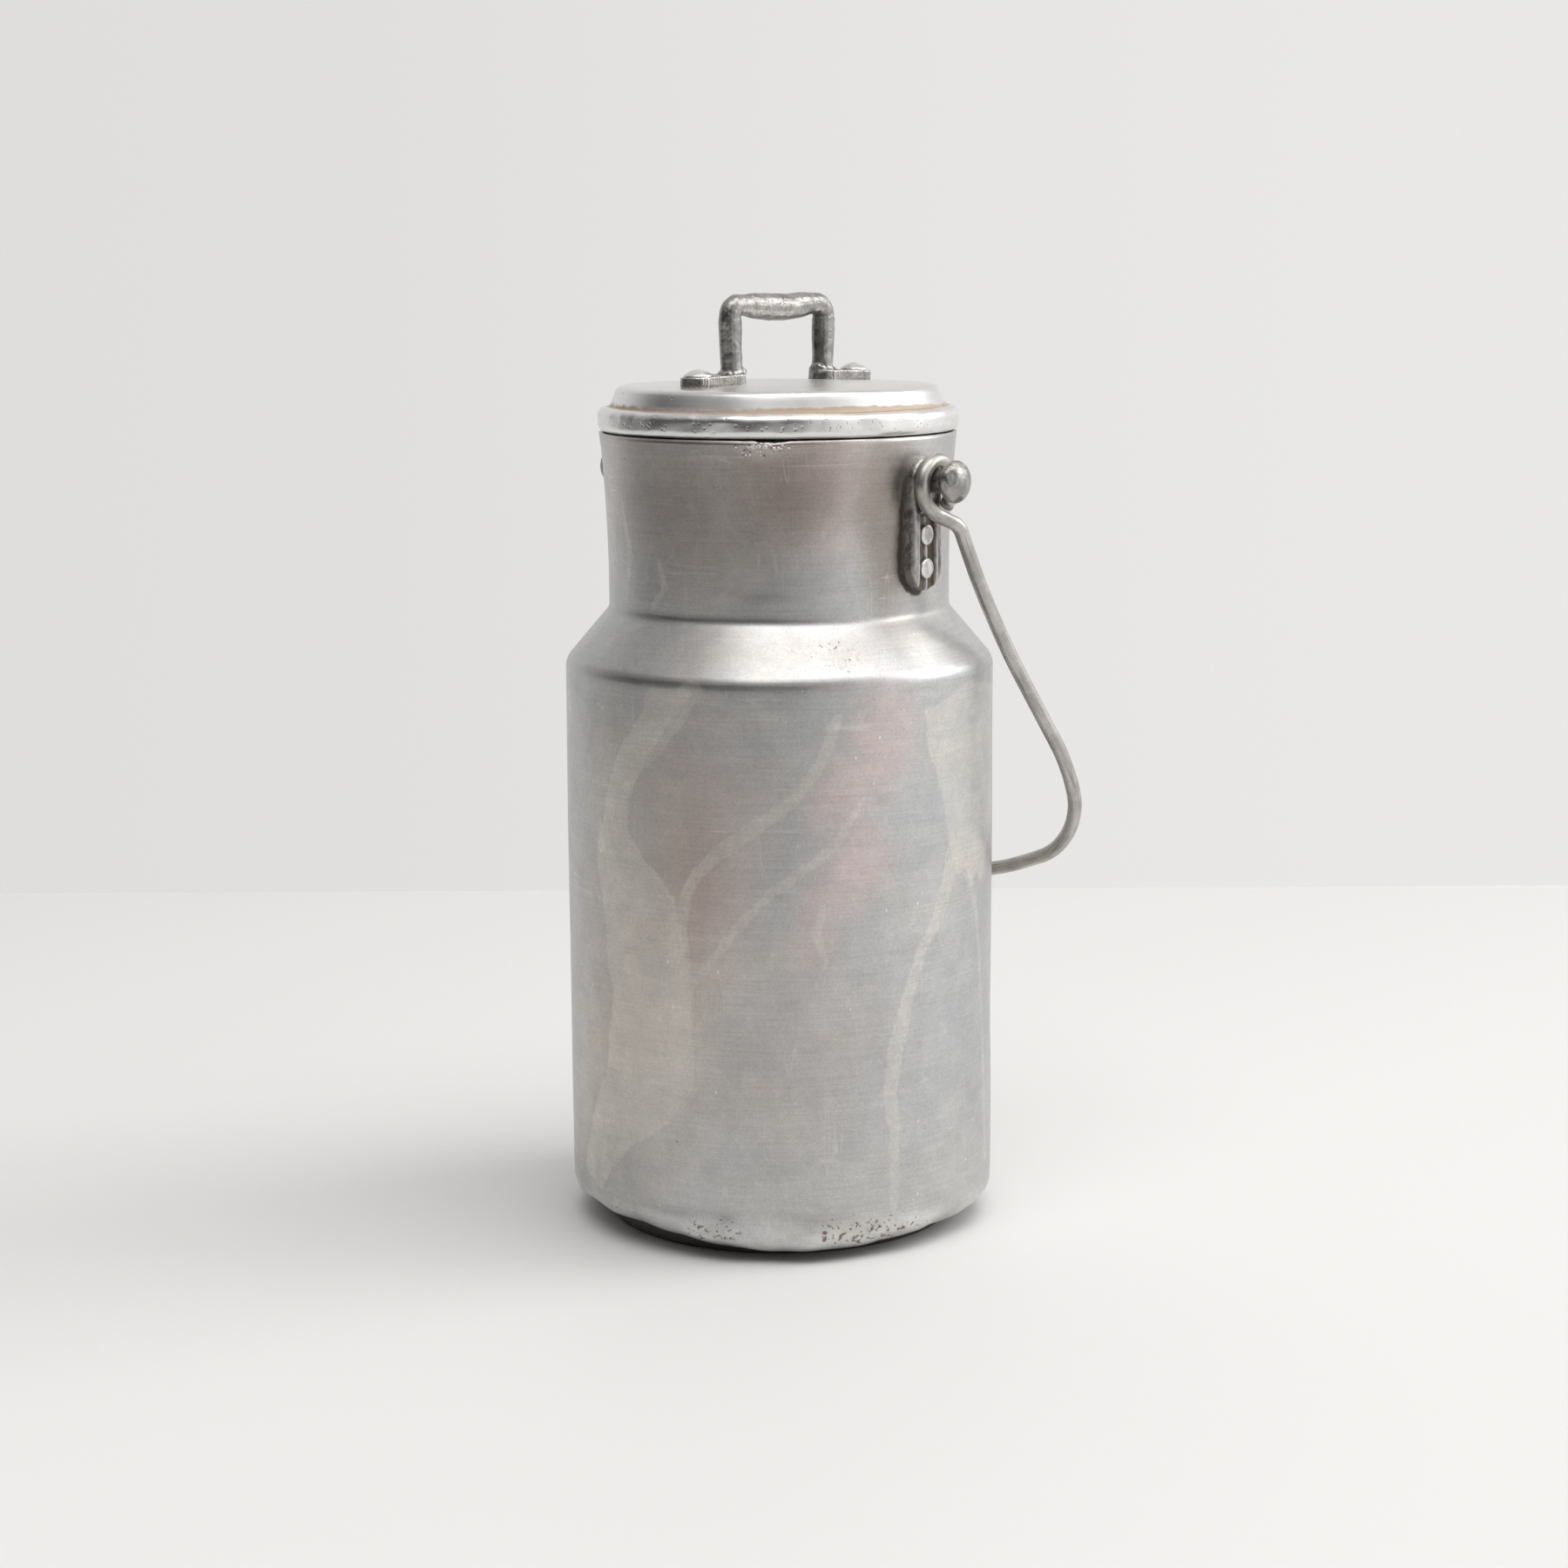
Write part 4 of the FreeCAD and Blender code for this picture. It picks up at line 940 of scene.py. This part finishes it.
def makeCan():
    bm = spinCan()
    markCan(bm)
    chance = random.Random(5)
    knocks = [(chance.uniform(-180, 180), chance.uniform(3.5, 11.5), chance.uniform(1.6, 6.0),
               chance.uniform(1.2, 3.0), chance.uniform(0.10, 0.32)) for _ in range(can["knocks"])]
    bendCan(bm, can["dents"] + knocks)
    addCrumbs(bm, chance)
    bm.normal_update()
    finishPiece("can_body_skin", bm, "can", ["can_body"], canAluminium)


ear = {
    "halfWidth": 6.5,
    "low": 180.8,
    "high": 216.8,
    "endRound": 6.2,
    "back": 46.9,
    "face": 51.7,
    "grooveHalf": 3.9,
    "grooveDepth": 1.3,
    "grooveTop": 202.1,
    "pivot": 210.5,
    "stud": 3.3,
    "worn": 3.22,  # the stud's radius where the bail's eye has rubbed it
    "eyeReach": 4.6,  # the eye's room round the stud, and how far out it goes
    "eyeOut": 56.4,
    "eyeRound": 9.5,
    "headPlace": 60.3,
    "headHalf": 3.5,
    "headRadius": 5.8,
    # as a direction, and how far out the flat lies
    "hammerFlats": [((-0.75, 0.25, 0.6), 0.93), ((0.55, -0.2, 0.8), 0.94), ((-0.3, -0.75, 0.6), 0.94),
                    ((0.1, 0.8, 0.6), 0.95), ((-0.95, -0.2, 0.1), 0.95), ((0.9, 0.45, 0.0), 0.95)],
    "voxel": 0.24,
    "backSunk": 0.9,  # how far the plate's back stays under the neck's surface
    "rivetHeights": {"upper": 195.9, "lower": 186.8},
    "tailSeats": {"upper": 45.95, "lower": 45.8},  # the neck's inside, where the tails sit
}


def neckRadius(height):
    # the neck's outside: straight, then a wide round that flares it to the mouth
    return can["neck"] + max(0.0, height - can["flareFrom"]) ** 2 / can["flareSlow"]


def earGrime(co):
    # brown dirt along the ears' outlines, on the neck
    height = co.z / mm
    if not 172 < height < 221 or abs(co.x) < 0.03:
        return 0.0
    side = co.y / mm * (1 if co.x > 0 else -1)
    end = ear["endRound"]
    beyondEnd = max(ear["low"] + end - height, height - (ear["high"] - end), 0)
    outside = math.hypot(max(0.0, abs(side) - 0.3), beyondEnd) - end
    if outside > 4.5:
        return 0.0
    low = 1.0 if height < 203 else max(0.25, 1 - (height - 203) / 16)
    outside = max(0.0, outside)
    return min(1.0, max(0.0, 1.25 - outside / 1.2) + 0.42 * max(0.0, 1 - outside / 4.0)) * low


makeCan()


# ---- the lid

lid = {
    "steps": 256,
    "turn": -5.0,
    "spacing": 1.1,
    "profile": [(0.0, 236.5), (44.5, 234.9, 2.2), (46.8, 229.2, 0.6), (50.2, 229.6, 2.5),
                (50.2, 222.5, 2.3), (46.3, 222.5, 0.5), (46.3, 207.5, 0.4), (44.8, 207.5, 0.4),
                (44.8, 224.0, 0.8), (48.7, 224.0, 0.8), (48.7, 228.1, 0.9), (45.4, 227.8, 1.2),
                (43.1, 233.5, 0.8), (0.0, 235.0)],
    # the groove between crown and bead, where dirt lies, and the bead itself
    "foldRadius": 46.6,
    "foldHeight": 229.5,
    "beadInner": 46.9,
    # dents on the bead: angle, half width in degrees, depth
    "dents": [(-46, 7, 0.35), (-20, 9, 0.3), (6, 6, 0.35), (31, 8, 0.45), (58, 6, 0.4), (110, 9, 0.5),
              (160, 7, 0.4), (-120, 8, 0.5), (-80, 6, 0.3)],
}


def makeLid():
    bm = bmesh.new()
    profileWire(bm, lid["profile"], 0.5)
    divideEdges(bm, bm.edges[:], lid["spacing"])
    spinProfile(bm, lid["steps"])
    zones = bm.verts.layers.float_color.new("zones")
    moves = []
    for vert in bm.verts:
        angle, height, radius = placeOnCan(vert.co)
        fold = math.hypot(radius - lid["foldRadius"], height - lid["foldHeight"])
        amount = 0.62 + 0.45 * bump(angleGap(angle, 32), 50) + 0.25 * bump(angleGap(angle, 150), 60)
        groove = max(0.0, 1 - fold / 2.6) * amount * 1.4
        crown = 0.12 * (radius < 43 and height > 233)
        pitted = 0.55 * max(0.0, 1 - abs(height - 226.0) / 3.5) * (radius > 48)
        vert[zones] = (max(groove, crown), 0.0, pitted, 1.0)
        around = Vector((vert.co.x, vert.co.y, 0)).normalized()
        if radius > lid["beadInner"] and height > 222:
            push = noise.noise(around * 7.0 + Vector((0, 0, height / 5))) * 0.34
            push += noise.noise(around * 24.0 + Vector((2, 0, height / 3))) * 0.16
            for a, halfWidth, depth in lid["dents"]:
                push -= depth * bump(angleGap(angle, a), halfWidth)
            weight = min(1.0, (radius - lid["beadInner"]) / 2.0)
            moves.append((vert, (around + Vector((0, 0, 0.4))) * min(0.1, push) * weight * mm))
        elif height > 232 and radius > 1:
            rise = noise.noise(vert.co / (22 * mm)) * 0.18 + noise.noise(vert.co / (7 * mm)) * 0.04
            moves.append((vert, Vector((0, 0, rise * mm * min(1.0, (44.5 - min(radius, 44.0)) / 3)))))
    for vert, move in moves:
        vert.co += move
    turnAbout(bm, lid["turn"])
    bm.normal_update()
    finishPiece("lid_sheet", bm, "lid", ["lid_shell"], lidAluminium)


makeLid()


# ---- tubes along a bent line

def bentLine(corners, runs, spacing):
    # a line through the corners, with each bend rounded by the straight that it takes up
    bm = bmesh.new()
    verts = [bm.verts.new(Vector(corner) * mm) for corner in corners]
    for before, after in zip(verts, verts[1:]):
        bm.edges.new((before, after))
    for vert, run in zip(verts[1:-1], runs):
        bmesh.ops.bevel(bm, geom=[vert], offset=run * mm, affect="VERTICES", segments=10, profile=0.5,
                        material=-1)
    divideEdges(bm, bm.edges[:], spacing)
    ends = [vert for vert in bm.verts if len(vert.link_edges) == 1]
    here = min(ends, key=lambda vert: (vert.co - Vector(corners[0]) * mm).length)
    points, before = [here.co.copy()], None
    while True:
        onward = [edge for edge in here.link_edges if edge is not before]
        if not onward:
            break
        before = onward[0]
        here = before.other_vert(here)
        points.append(here.co.copy())
    bm.free()
    return points


def tube(points, radii, resolution):
    curve = bpy.data.curves.new("tube", "CURVE")
    curve.dimensions = "3D"
    curve.bevel_depth = 1.0
    curve.bevel_resolution = resolution
    curve.use_fill_caps = True
    curve.twist_mode = "MINIMUM"
    spline = curve.splines.new("POLY")
    spline.points.add(len(points) - 1)
    for point, place, radius in zip(spline.points, points, radii):
        point.co = (*place, 1)
        point.radius = radius * mm
    made = bpy.data.objects.new("tube", curve)
    scene.collection.objects.link(made)
    bm = meshOf(made)
    bmesh.ops.remove_doubles(bm, verts=bm.verts, dist=1e-7)
    bmesh.ops.recalc_face_normals(bm, faces=bm.faces)
    return bm


def roundedSlab(halfWidth, near, far, rounding, low, high, bevel):
    # a plate lying flat, from low to high, with rounded corners and broken edges
    bm = bmesh.new()
    bmesh.ops.create_grid(bm, x_segments=1, y_segments=1, size=0.5)
    bmesh.ops.scale(bm, vec=(2 * halfWidth * mm, (far - near) * mm, 1), verts=bm.verts)
    bmesh.ops.translate(bm, vec=(0, (far + near) / 2 * mm, low * mm), verts=bm.verts)
    bmesh.ops.bevel(bm, geom=bm.verts[:], offset=rounding * mm, affect="VERTICES", segments=8, profile=0.5,
                    material=-1)
    raised = bmesh.ops.extrude_face_region(bm, geom=bm.faces[:])["geom"]
    top = [item for item in raised if isinstance(item, bmesh.types.BMVert)]
    bmesh.ops.translate(bm, vec=(0, 0, (high - low) * mm), verts=top)
    if bevel:
        edges = [edge for edge in bm.edges if all(vert in top for vert in edge.verts)]
        bmesh.ops.bevel(bm, geom=edges, offset=bevel * mm, affect="EDGES", segments=3, profile=0.5,
                        material=-1)
    bmesh.ops.recalc_face_normals(bm, faces=bm.faces)
    return bm


# ---- the lid's handle

handle = {
    "legFoot": 18.0,
    "legTop": 18.9,
    "lidTop": 236.5,
    "footSunk": 1.3,
    "barRise": 20.5,
    "cornerRun": 3.4,
    "radius": 3.05,
    "swell": 0.75,
    "swellHalf": 12.0,
    "footHalf": 4.8,
    "footNear": 15.0,
    "footFar": 35.6,
    "footThick": 2.7,
    "footRound": 4.2,
    "barFrom": 17.1,
    "slope": 2.06,
    "voxel": 0.24,
    "rivetPlace": 31.2,
    # lumps round a leg's foot: place from the leg (across, along the bow, up), size, seed
    "lumps": [((0.3, -2.2, 0.3), (3.0, 1.5, 1.7), 1), ((2.2, 0.0, 0.0), (1.2, 2.4, 0.9), 4),
              ((-2.2, 0.6, 0.0), (1.3, 2.2, 0.9), 7), ((0.2, 2.7, 0.0), (2.4, 1.6, 0.9), 9)],
}


def tiltToSlope(bm, side):
    # lays a plate on the lid's slope, on the handle's +Y or -Y side
    matrix = Matrix.Rotation(math.radians(-side * handle["slope"]), 3, "X")
    bmesh.ops.rotate(bm, cent=(0, 0, handle["lidTop"] * mm), matrix=matrix, verts=bm.verts)


def makeHandle():
    h = handle
    low, high = h["lidTop"] - h["footSunk"], h["lidTop"] + h["barRise"]
    wide, wider = h["legFoot"], h["legTop"]
    corners = [(0, -wide, low), (0, -wider, high), (0, wider, high), (0, wide, low)]
    points = bentLine(corners, [h["cornerRun"], h["cornerRun"]], 0.8)
    radii = []
    for point in points:
        y, rise = point.y / mm, point.z / mm - h["lidTop"]
        radius = h["radius"] + 0.3 * bump(max(0.0, rise), 4.0) + 0.2 * bump(rise - 15.0, 8.0)
        if rise > h["barFrom"]:
            share = max(0.0, 1 - (y / h["swellHalf"]) ** 2)
            radius = h["radius"] + h["swell"] * math.sqrt(share) * 0.9
            point.z -= h["swell"] * share * mm
        radii.append(radius)
    bm = tube(points, radii, 7)
    for side in (1, -1):
        top = h["lidTop"] + h["footThick"]
        foot = roundedSlab(h["footHalf"], h["footNear"], h["footFar"], h["footRound"], h["lidTop"] - 0.2,
                           top, 0.25)
        if side < 0:
            bmesh.ops.scale(foot, vec=(1, -1, 1), verts=foot.verts)
            bmesh.ops.reverse_faces(foot, faces=foot.faces)
        tiltToSlope(foot, side)
        addInto(bm, foot)
        leg, on = side * h["legFoot"], top - 0.4
        for (across, along, up), size, seed in h["lumps"]:
            addInto(bm, blob((across, leg + side * along, on + up), size, seed + side))
    bm = remeshed(bm, h["voxel"])
    lumpy(bm, [(9.0, 0.22), (2.6, 0.13), (0.9, 0.06)], 2.0)
    grimeAndShade = bm.verts.layers.float.new("grimeAndShade")
    for vert in bm.verts:
        x, y, rise = vert.co.x / mm, vert.co.y / mm, vert.co.z / mm - h["lidTop"]
        # darker where the feet meet the lid: dirt, and painted shade at the join
        vert[grimeAndShade] = 0.55 * max(0.0, 1 - (rise + 0.7) / 1.0)
        if abs(x) > h["footHalf"] - 0.6 and rise < h["footThick"]:  # tool marks down the feet's sides
            vert.co.x += math.copysign(0.11, x) * mm * math.sin(y * 7.0 + 3 * noise.noise((y, 0, 0)))
    markRelief(bm)
    turnAbout(bm, lid["turn"])
    finishPiece("handle_casting", bm, "lid", ["lid_handle"], castAluminium)


makeHandle()


# ---- rivets

rivets = {
    "tailHeight": 1.0,
    "lidSheet": 1.53,
    # a head is (radius, height, rounding) from its top down to its seat
    "dome": {
        "head": [(0.0, 2.1), (2.3, 1.62, 6.0), (4.0, 0.42, 0.5), (3.95, -0.02, 0.2)],
        "shank": 1.8,
        "tail": 3.0,
        "tailRound": 0.5,
        "steps": 72,
        "lumps": [(3.0, 0.10), (1.2, 0.04)],
    },
    "flat": {
        "head": [(0.0, 1.1), (1.9, 1.2, 1.5), (2.75, 1.0, 0.3), (2.75, 0.0, 0.2)],
        "shank": 1.5,
        "tail": 2.6,
        "tailRound": 0.3,
        "steps": 60,
        "lumps": [(1.8, 0.10), (0.7, 0.03)],
    },
}


def rivetShape(kind, grip, seed):
    # turned about Z with its seat at height 0, its tail below
    r = rivets[kind]
    end = -grip - rivets["tailHeight"]
    below = [(r["shank"], 0.0), (r["shank"], -grip), (r["tail"], -grip), (r["tail"], end, r["tailRound"]),
             (0.0, end)]
    bm = bmesh.new()
    profileWire(bm, r["head"] + below, 0.2)
    divideEdges(bm, bm.edges[:], 0.45)
    spinProfile(bm, r["steps"])
    lumpy(bm, r["lumps"], seed)
    return bm


def makeDomedRivets():
    seat = handle["lidTop"] + handle["footThick"]
    for side, end in ((1, "rear"), (-1, "front")):
        bm = rivetShape("dome", handle["footThick"] + rivets["lidSheet"], 3.0 * side)
        bmesh.ops.translate(bm, vec=(0, side * handle["rivetPlace"] * mm, seat * mm), verts=bm.verts)
        tiltToSlope(bm, side)
        turnAbout(bm, lid["turn"])
        finishPiece(f"handle_rivet_{end}_head", bm, "lid", [f"handle_rivet_{end}"],
                    rivetAluminium)


makeDomedRivets()


# ---- the ears

def makeEar(sideName, halfTurn, seed):
    e = ear
    # drawn flat with X to the right, Y up the neck and Z outwards, then stood up
    bm = roundedSlab(e["halfWidth"], e["low"], e["high"], e["endRound"], e["back"], e["face"], 1.1)
    stud = bmesh.new()
    bmesh.ops.create_cone(stud, cap_ends=True, segments=40, radius1=e["stud"] * mm, radius2=e["stud"] * mm,
                          depth=(e["headPlace"] - e["back"]) * mm)
    middle = (e["headPlace"] + e["back"]) / 2
    bmesh.ops.translate(stud, vec=(0, e["pivot"] * mm, middle * mm), verts=stud.verts)
    addInto(bm, stud)
    head = bmesh.new()
    bmesh.ops.create_uvsphere(head, u_segments=40, v_segments=24, radius=1)
    for direction, reach in e["hammerFlats"]:
        way = Vector(direction).normalized()
        geom = head.verts[:] + head.edges[:] + head.faces[:]
        bmesh.ops.bisect_plane(head, geom=geom, plane_co=way * reach, plane_no=way, clear_outer=True)
        bmesh.ops.holes_fill(head, edges=[edge for edge in head.edges if edge.is_boundary], sides=0)
    wide, thick = e["headRadius"] * mm, e["headHalf"] * mm
    bmesh.ops.scale(head, vec=(wide, wide, thick), verts=head.verts)
    bmesh.ops.translate(head, vec=(0, e["pivot"] * mm, e["headPlace"] * mm), verts=head.verts)
    addInto(bm, head)
    addInto(bm, blob((-0.6, e["pivot"] - 5.0, e["headPlace"] + 0.3), (1.0, 0.7, 0.9), seed))
    bm = remeshed(bm, e["voxel"])
    grimeAndShade = bm.verts.layers.float.new("grimeAndShade")
    for vert in bm.verts:
        x, y, z = (value / mm for value in vert.co)
        if y < e["grooveTop"] and z > e["face"] - 2.2:
            wall = min(1.0, max(0.0, (e["grooveHalf"] - abs(x)) / 0.55))
            end = min(1.0, max(0.0, (e["grooveTop"] - y) / 0.9))
            sink = e["grooveDepth"] * wall * wall * (3 - 2 * wall) * end * end * (3 - 2 * end)
            seam = 0.8 * bump(x - 0.15 * math.sin(y * 0.9), 0.6) * (181.0 < y < 196.5)
            vert.co.z = min(vert.co.z, (e["face"] - sink + seam) * mm)
            # the groove and a ring round each rivet are darkened as painted shade
            around = min(math.hypot(x, y - height) for height in e["rivetHeights"].values())
            hollow = 0.85 * wall * end * (1 - bump(x, 0.9)) + 0.5 * bump(around - 3.0, 0.8)
        else:
            hollow = 0.0
        outline = max(0.0, min(1.0, (e["face"] - 2.6 - z) / 1.2))
        nub = math.hypot(x + 0.6, y - e["pivot"] + 5.0) < 1.3 and z > 57
        # the stud's shaft inside the bail's eye is darkened as painted shade
        shaft = 0.45 * (math.hypot(x, y - e["pivot"]) < e["stud"] + 0.8 and e["face"] + 0.3 < z < 57.2)
        vert[grimeAndShade] = max(0.75 * outline, 0.95 * nub, hollow, shaft)
    smoothed(bm)
    bm.normal_update()
    lumpy(bm, [(7.0, 0.18), (2.2, 0.10), (0.8, 0.04)], seed)
    for vert in bm.verts:
        x, y, z = (value / mm for value in vert.co)
        hidden = neckRadius(y) - e["backSunk"]
        if math.hypot(x, z) < hidden:
            z = math.sqrt(hidden * hidden - x * x)
            vert.co.z = z * mm
        # the bail's eye turns round the stud, so nothing stands proud there
        gap = math.hypot(x, y - e["pivot"])
        if e["worn"] < gap < e["eyeReach"] and e["face"] + 0.5 < z < e["eyeOut"]:
            vert.co.x = x * e["worn"] / gap * mm
            vert.co.y = (e["pivot"] + (y - e["pivot"]) * e["worn"] / gap) * mm
        elif gap < e["eyeRound"] and e["face"] - 1 < z < e["face"] + 0.5:
            vert.co.z = min(z, e["face"] + 0.05) * mm
    markRelief(bm)
    stand = Matrix(((0, 0, 1), (1, 0, 0), (0, 1, 0)))  # flat X, Y, Z to the can's Y, Z, X
    bmesh.ops.transform(bm, matrix=stand.to_4x4(), verts=bm.verts)
    turnAbout(bm, halfTurn)
    bmesh.ops.recalc_face_normals(bm, faces=bm.faces)
    finishPiece(f"ear_{sideName}_casting", bm, "can", [f"ear_{sideName}"], castAluminium)
    for row, height in e["rivetHeights"].items():
        grip = e["face"] - e["grooveDepth"] - e["tailSeats"][row]
        bm = rivetShape("flat", grip, seed + height)
        bmesh.ops.translate(bm, vec=(0, height * mm, (e["face"] - e["grooveDepth"]) * mm), verts=bm.verts)
        bmesh.ops.transform(bm, matrix=stand.to_4x4(), verts=bm.verts)
        turnAbout(bm, halfTurn)
        finishPiece(f"ear_rivet_{sideName}_{row}_head", bm, "can", [f"ear_rivet_{sideName}_{row}"],
                    rivetAluminium)


makeEar("right", 0, 1.0)
makeEar("left", 180, 12.0)


# ---- the bail

bail = {
    "wire": 4.0,
    "eyePlace": 54.0,
    "eyeRadius": 6.9,
    "eyeDrop": 1.55,
    "eyeEnd": 350.0,
    "eyeStraight": 3.5,
    "kinkOut": 3.3,
    "kinkDrop": 13.8,
    "corners": [(58.6, 44.0), (70.5, 93.5), (66.0, 119.0), (23.0, 137.2)],
    "runs": [1.4, 1.9, 17.4, 9.4, 16.3, 21.3],
    "pivot": 210.5,
    "rest": 27.0,
    "eyeSteps": 40,
}


def makeBail():
    b = bail
    below = b["kinkDrop"] - b["eyeDrop"]
    leaveAngle = math.acos(b["eyeRadius"] / below)

    def onEye(angle):
        return Vector((b["eyePlace"], -math.sin(angle) * b["eyeRadius"],
                       -b["eyeDrop"] - math.cos(angle) * b["eyeRadius"]))

    leave = onEye(leaveAngle)
    kink = Vector((b["eyePlace"], 0, -b["kinkDrop"]))
    bend = leave + (kink - leave).normalized() * b["eyeStraight"]
    corners = [leave, bend, Vector((b["eyePlace"] + b["kinkOut"], 0, -b["kinkDrop"]))]
    corners += [Vector((out, 0, -drop)) for out, drop in b["corners"]]
    corners += [Vector((-corner.x, corner.y, corner.z)) for corner in reversed(corners)]
    middle = bentLine(corners, b["runs"] + b["runs"][::-1], 1.2)
    tip = math.radians(b["eyeEnd"])
    angles = [tip + (leaveAngle - tip) * i / b["eyeSteps"] for i in range(b["eyeSteps"])]
    eye = [onEye(angle) * mm for angle in angles]
    points = eye + middle + [Vector((-point.x, point.y, point.z)) for point in reversed(eye)]
    bm = tube(points, [b["wire"] / 2] * len(points), 7)
    turnAbout(bm, b["rest"], "X")
    bmesh.ops.translate(bm, vec=(0, 0, b["pivot"] * mm), verts=bm.verts)
    finishPiece("bail_bent_wire", bm, "bail", ["bail"], bailWire)


makeBail()

print("all pieces made")
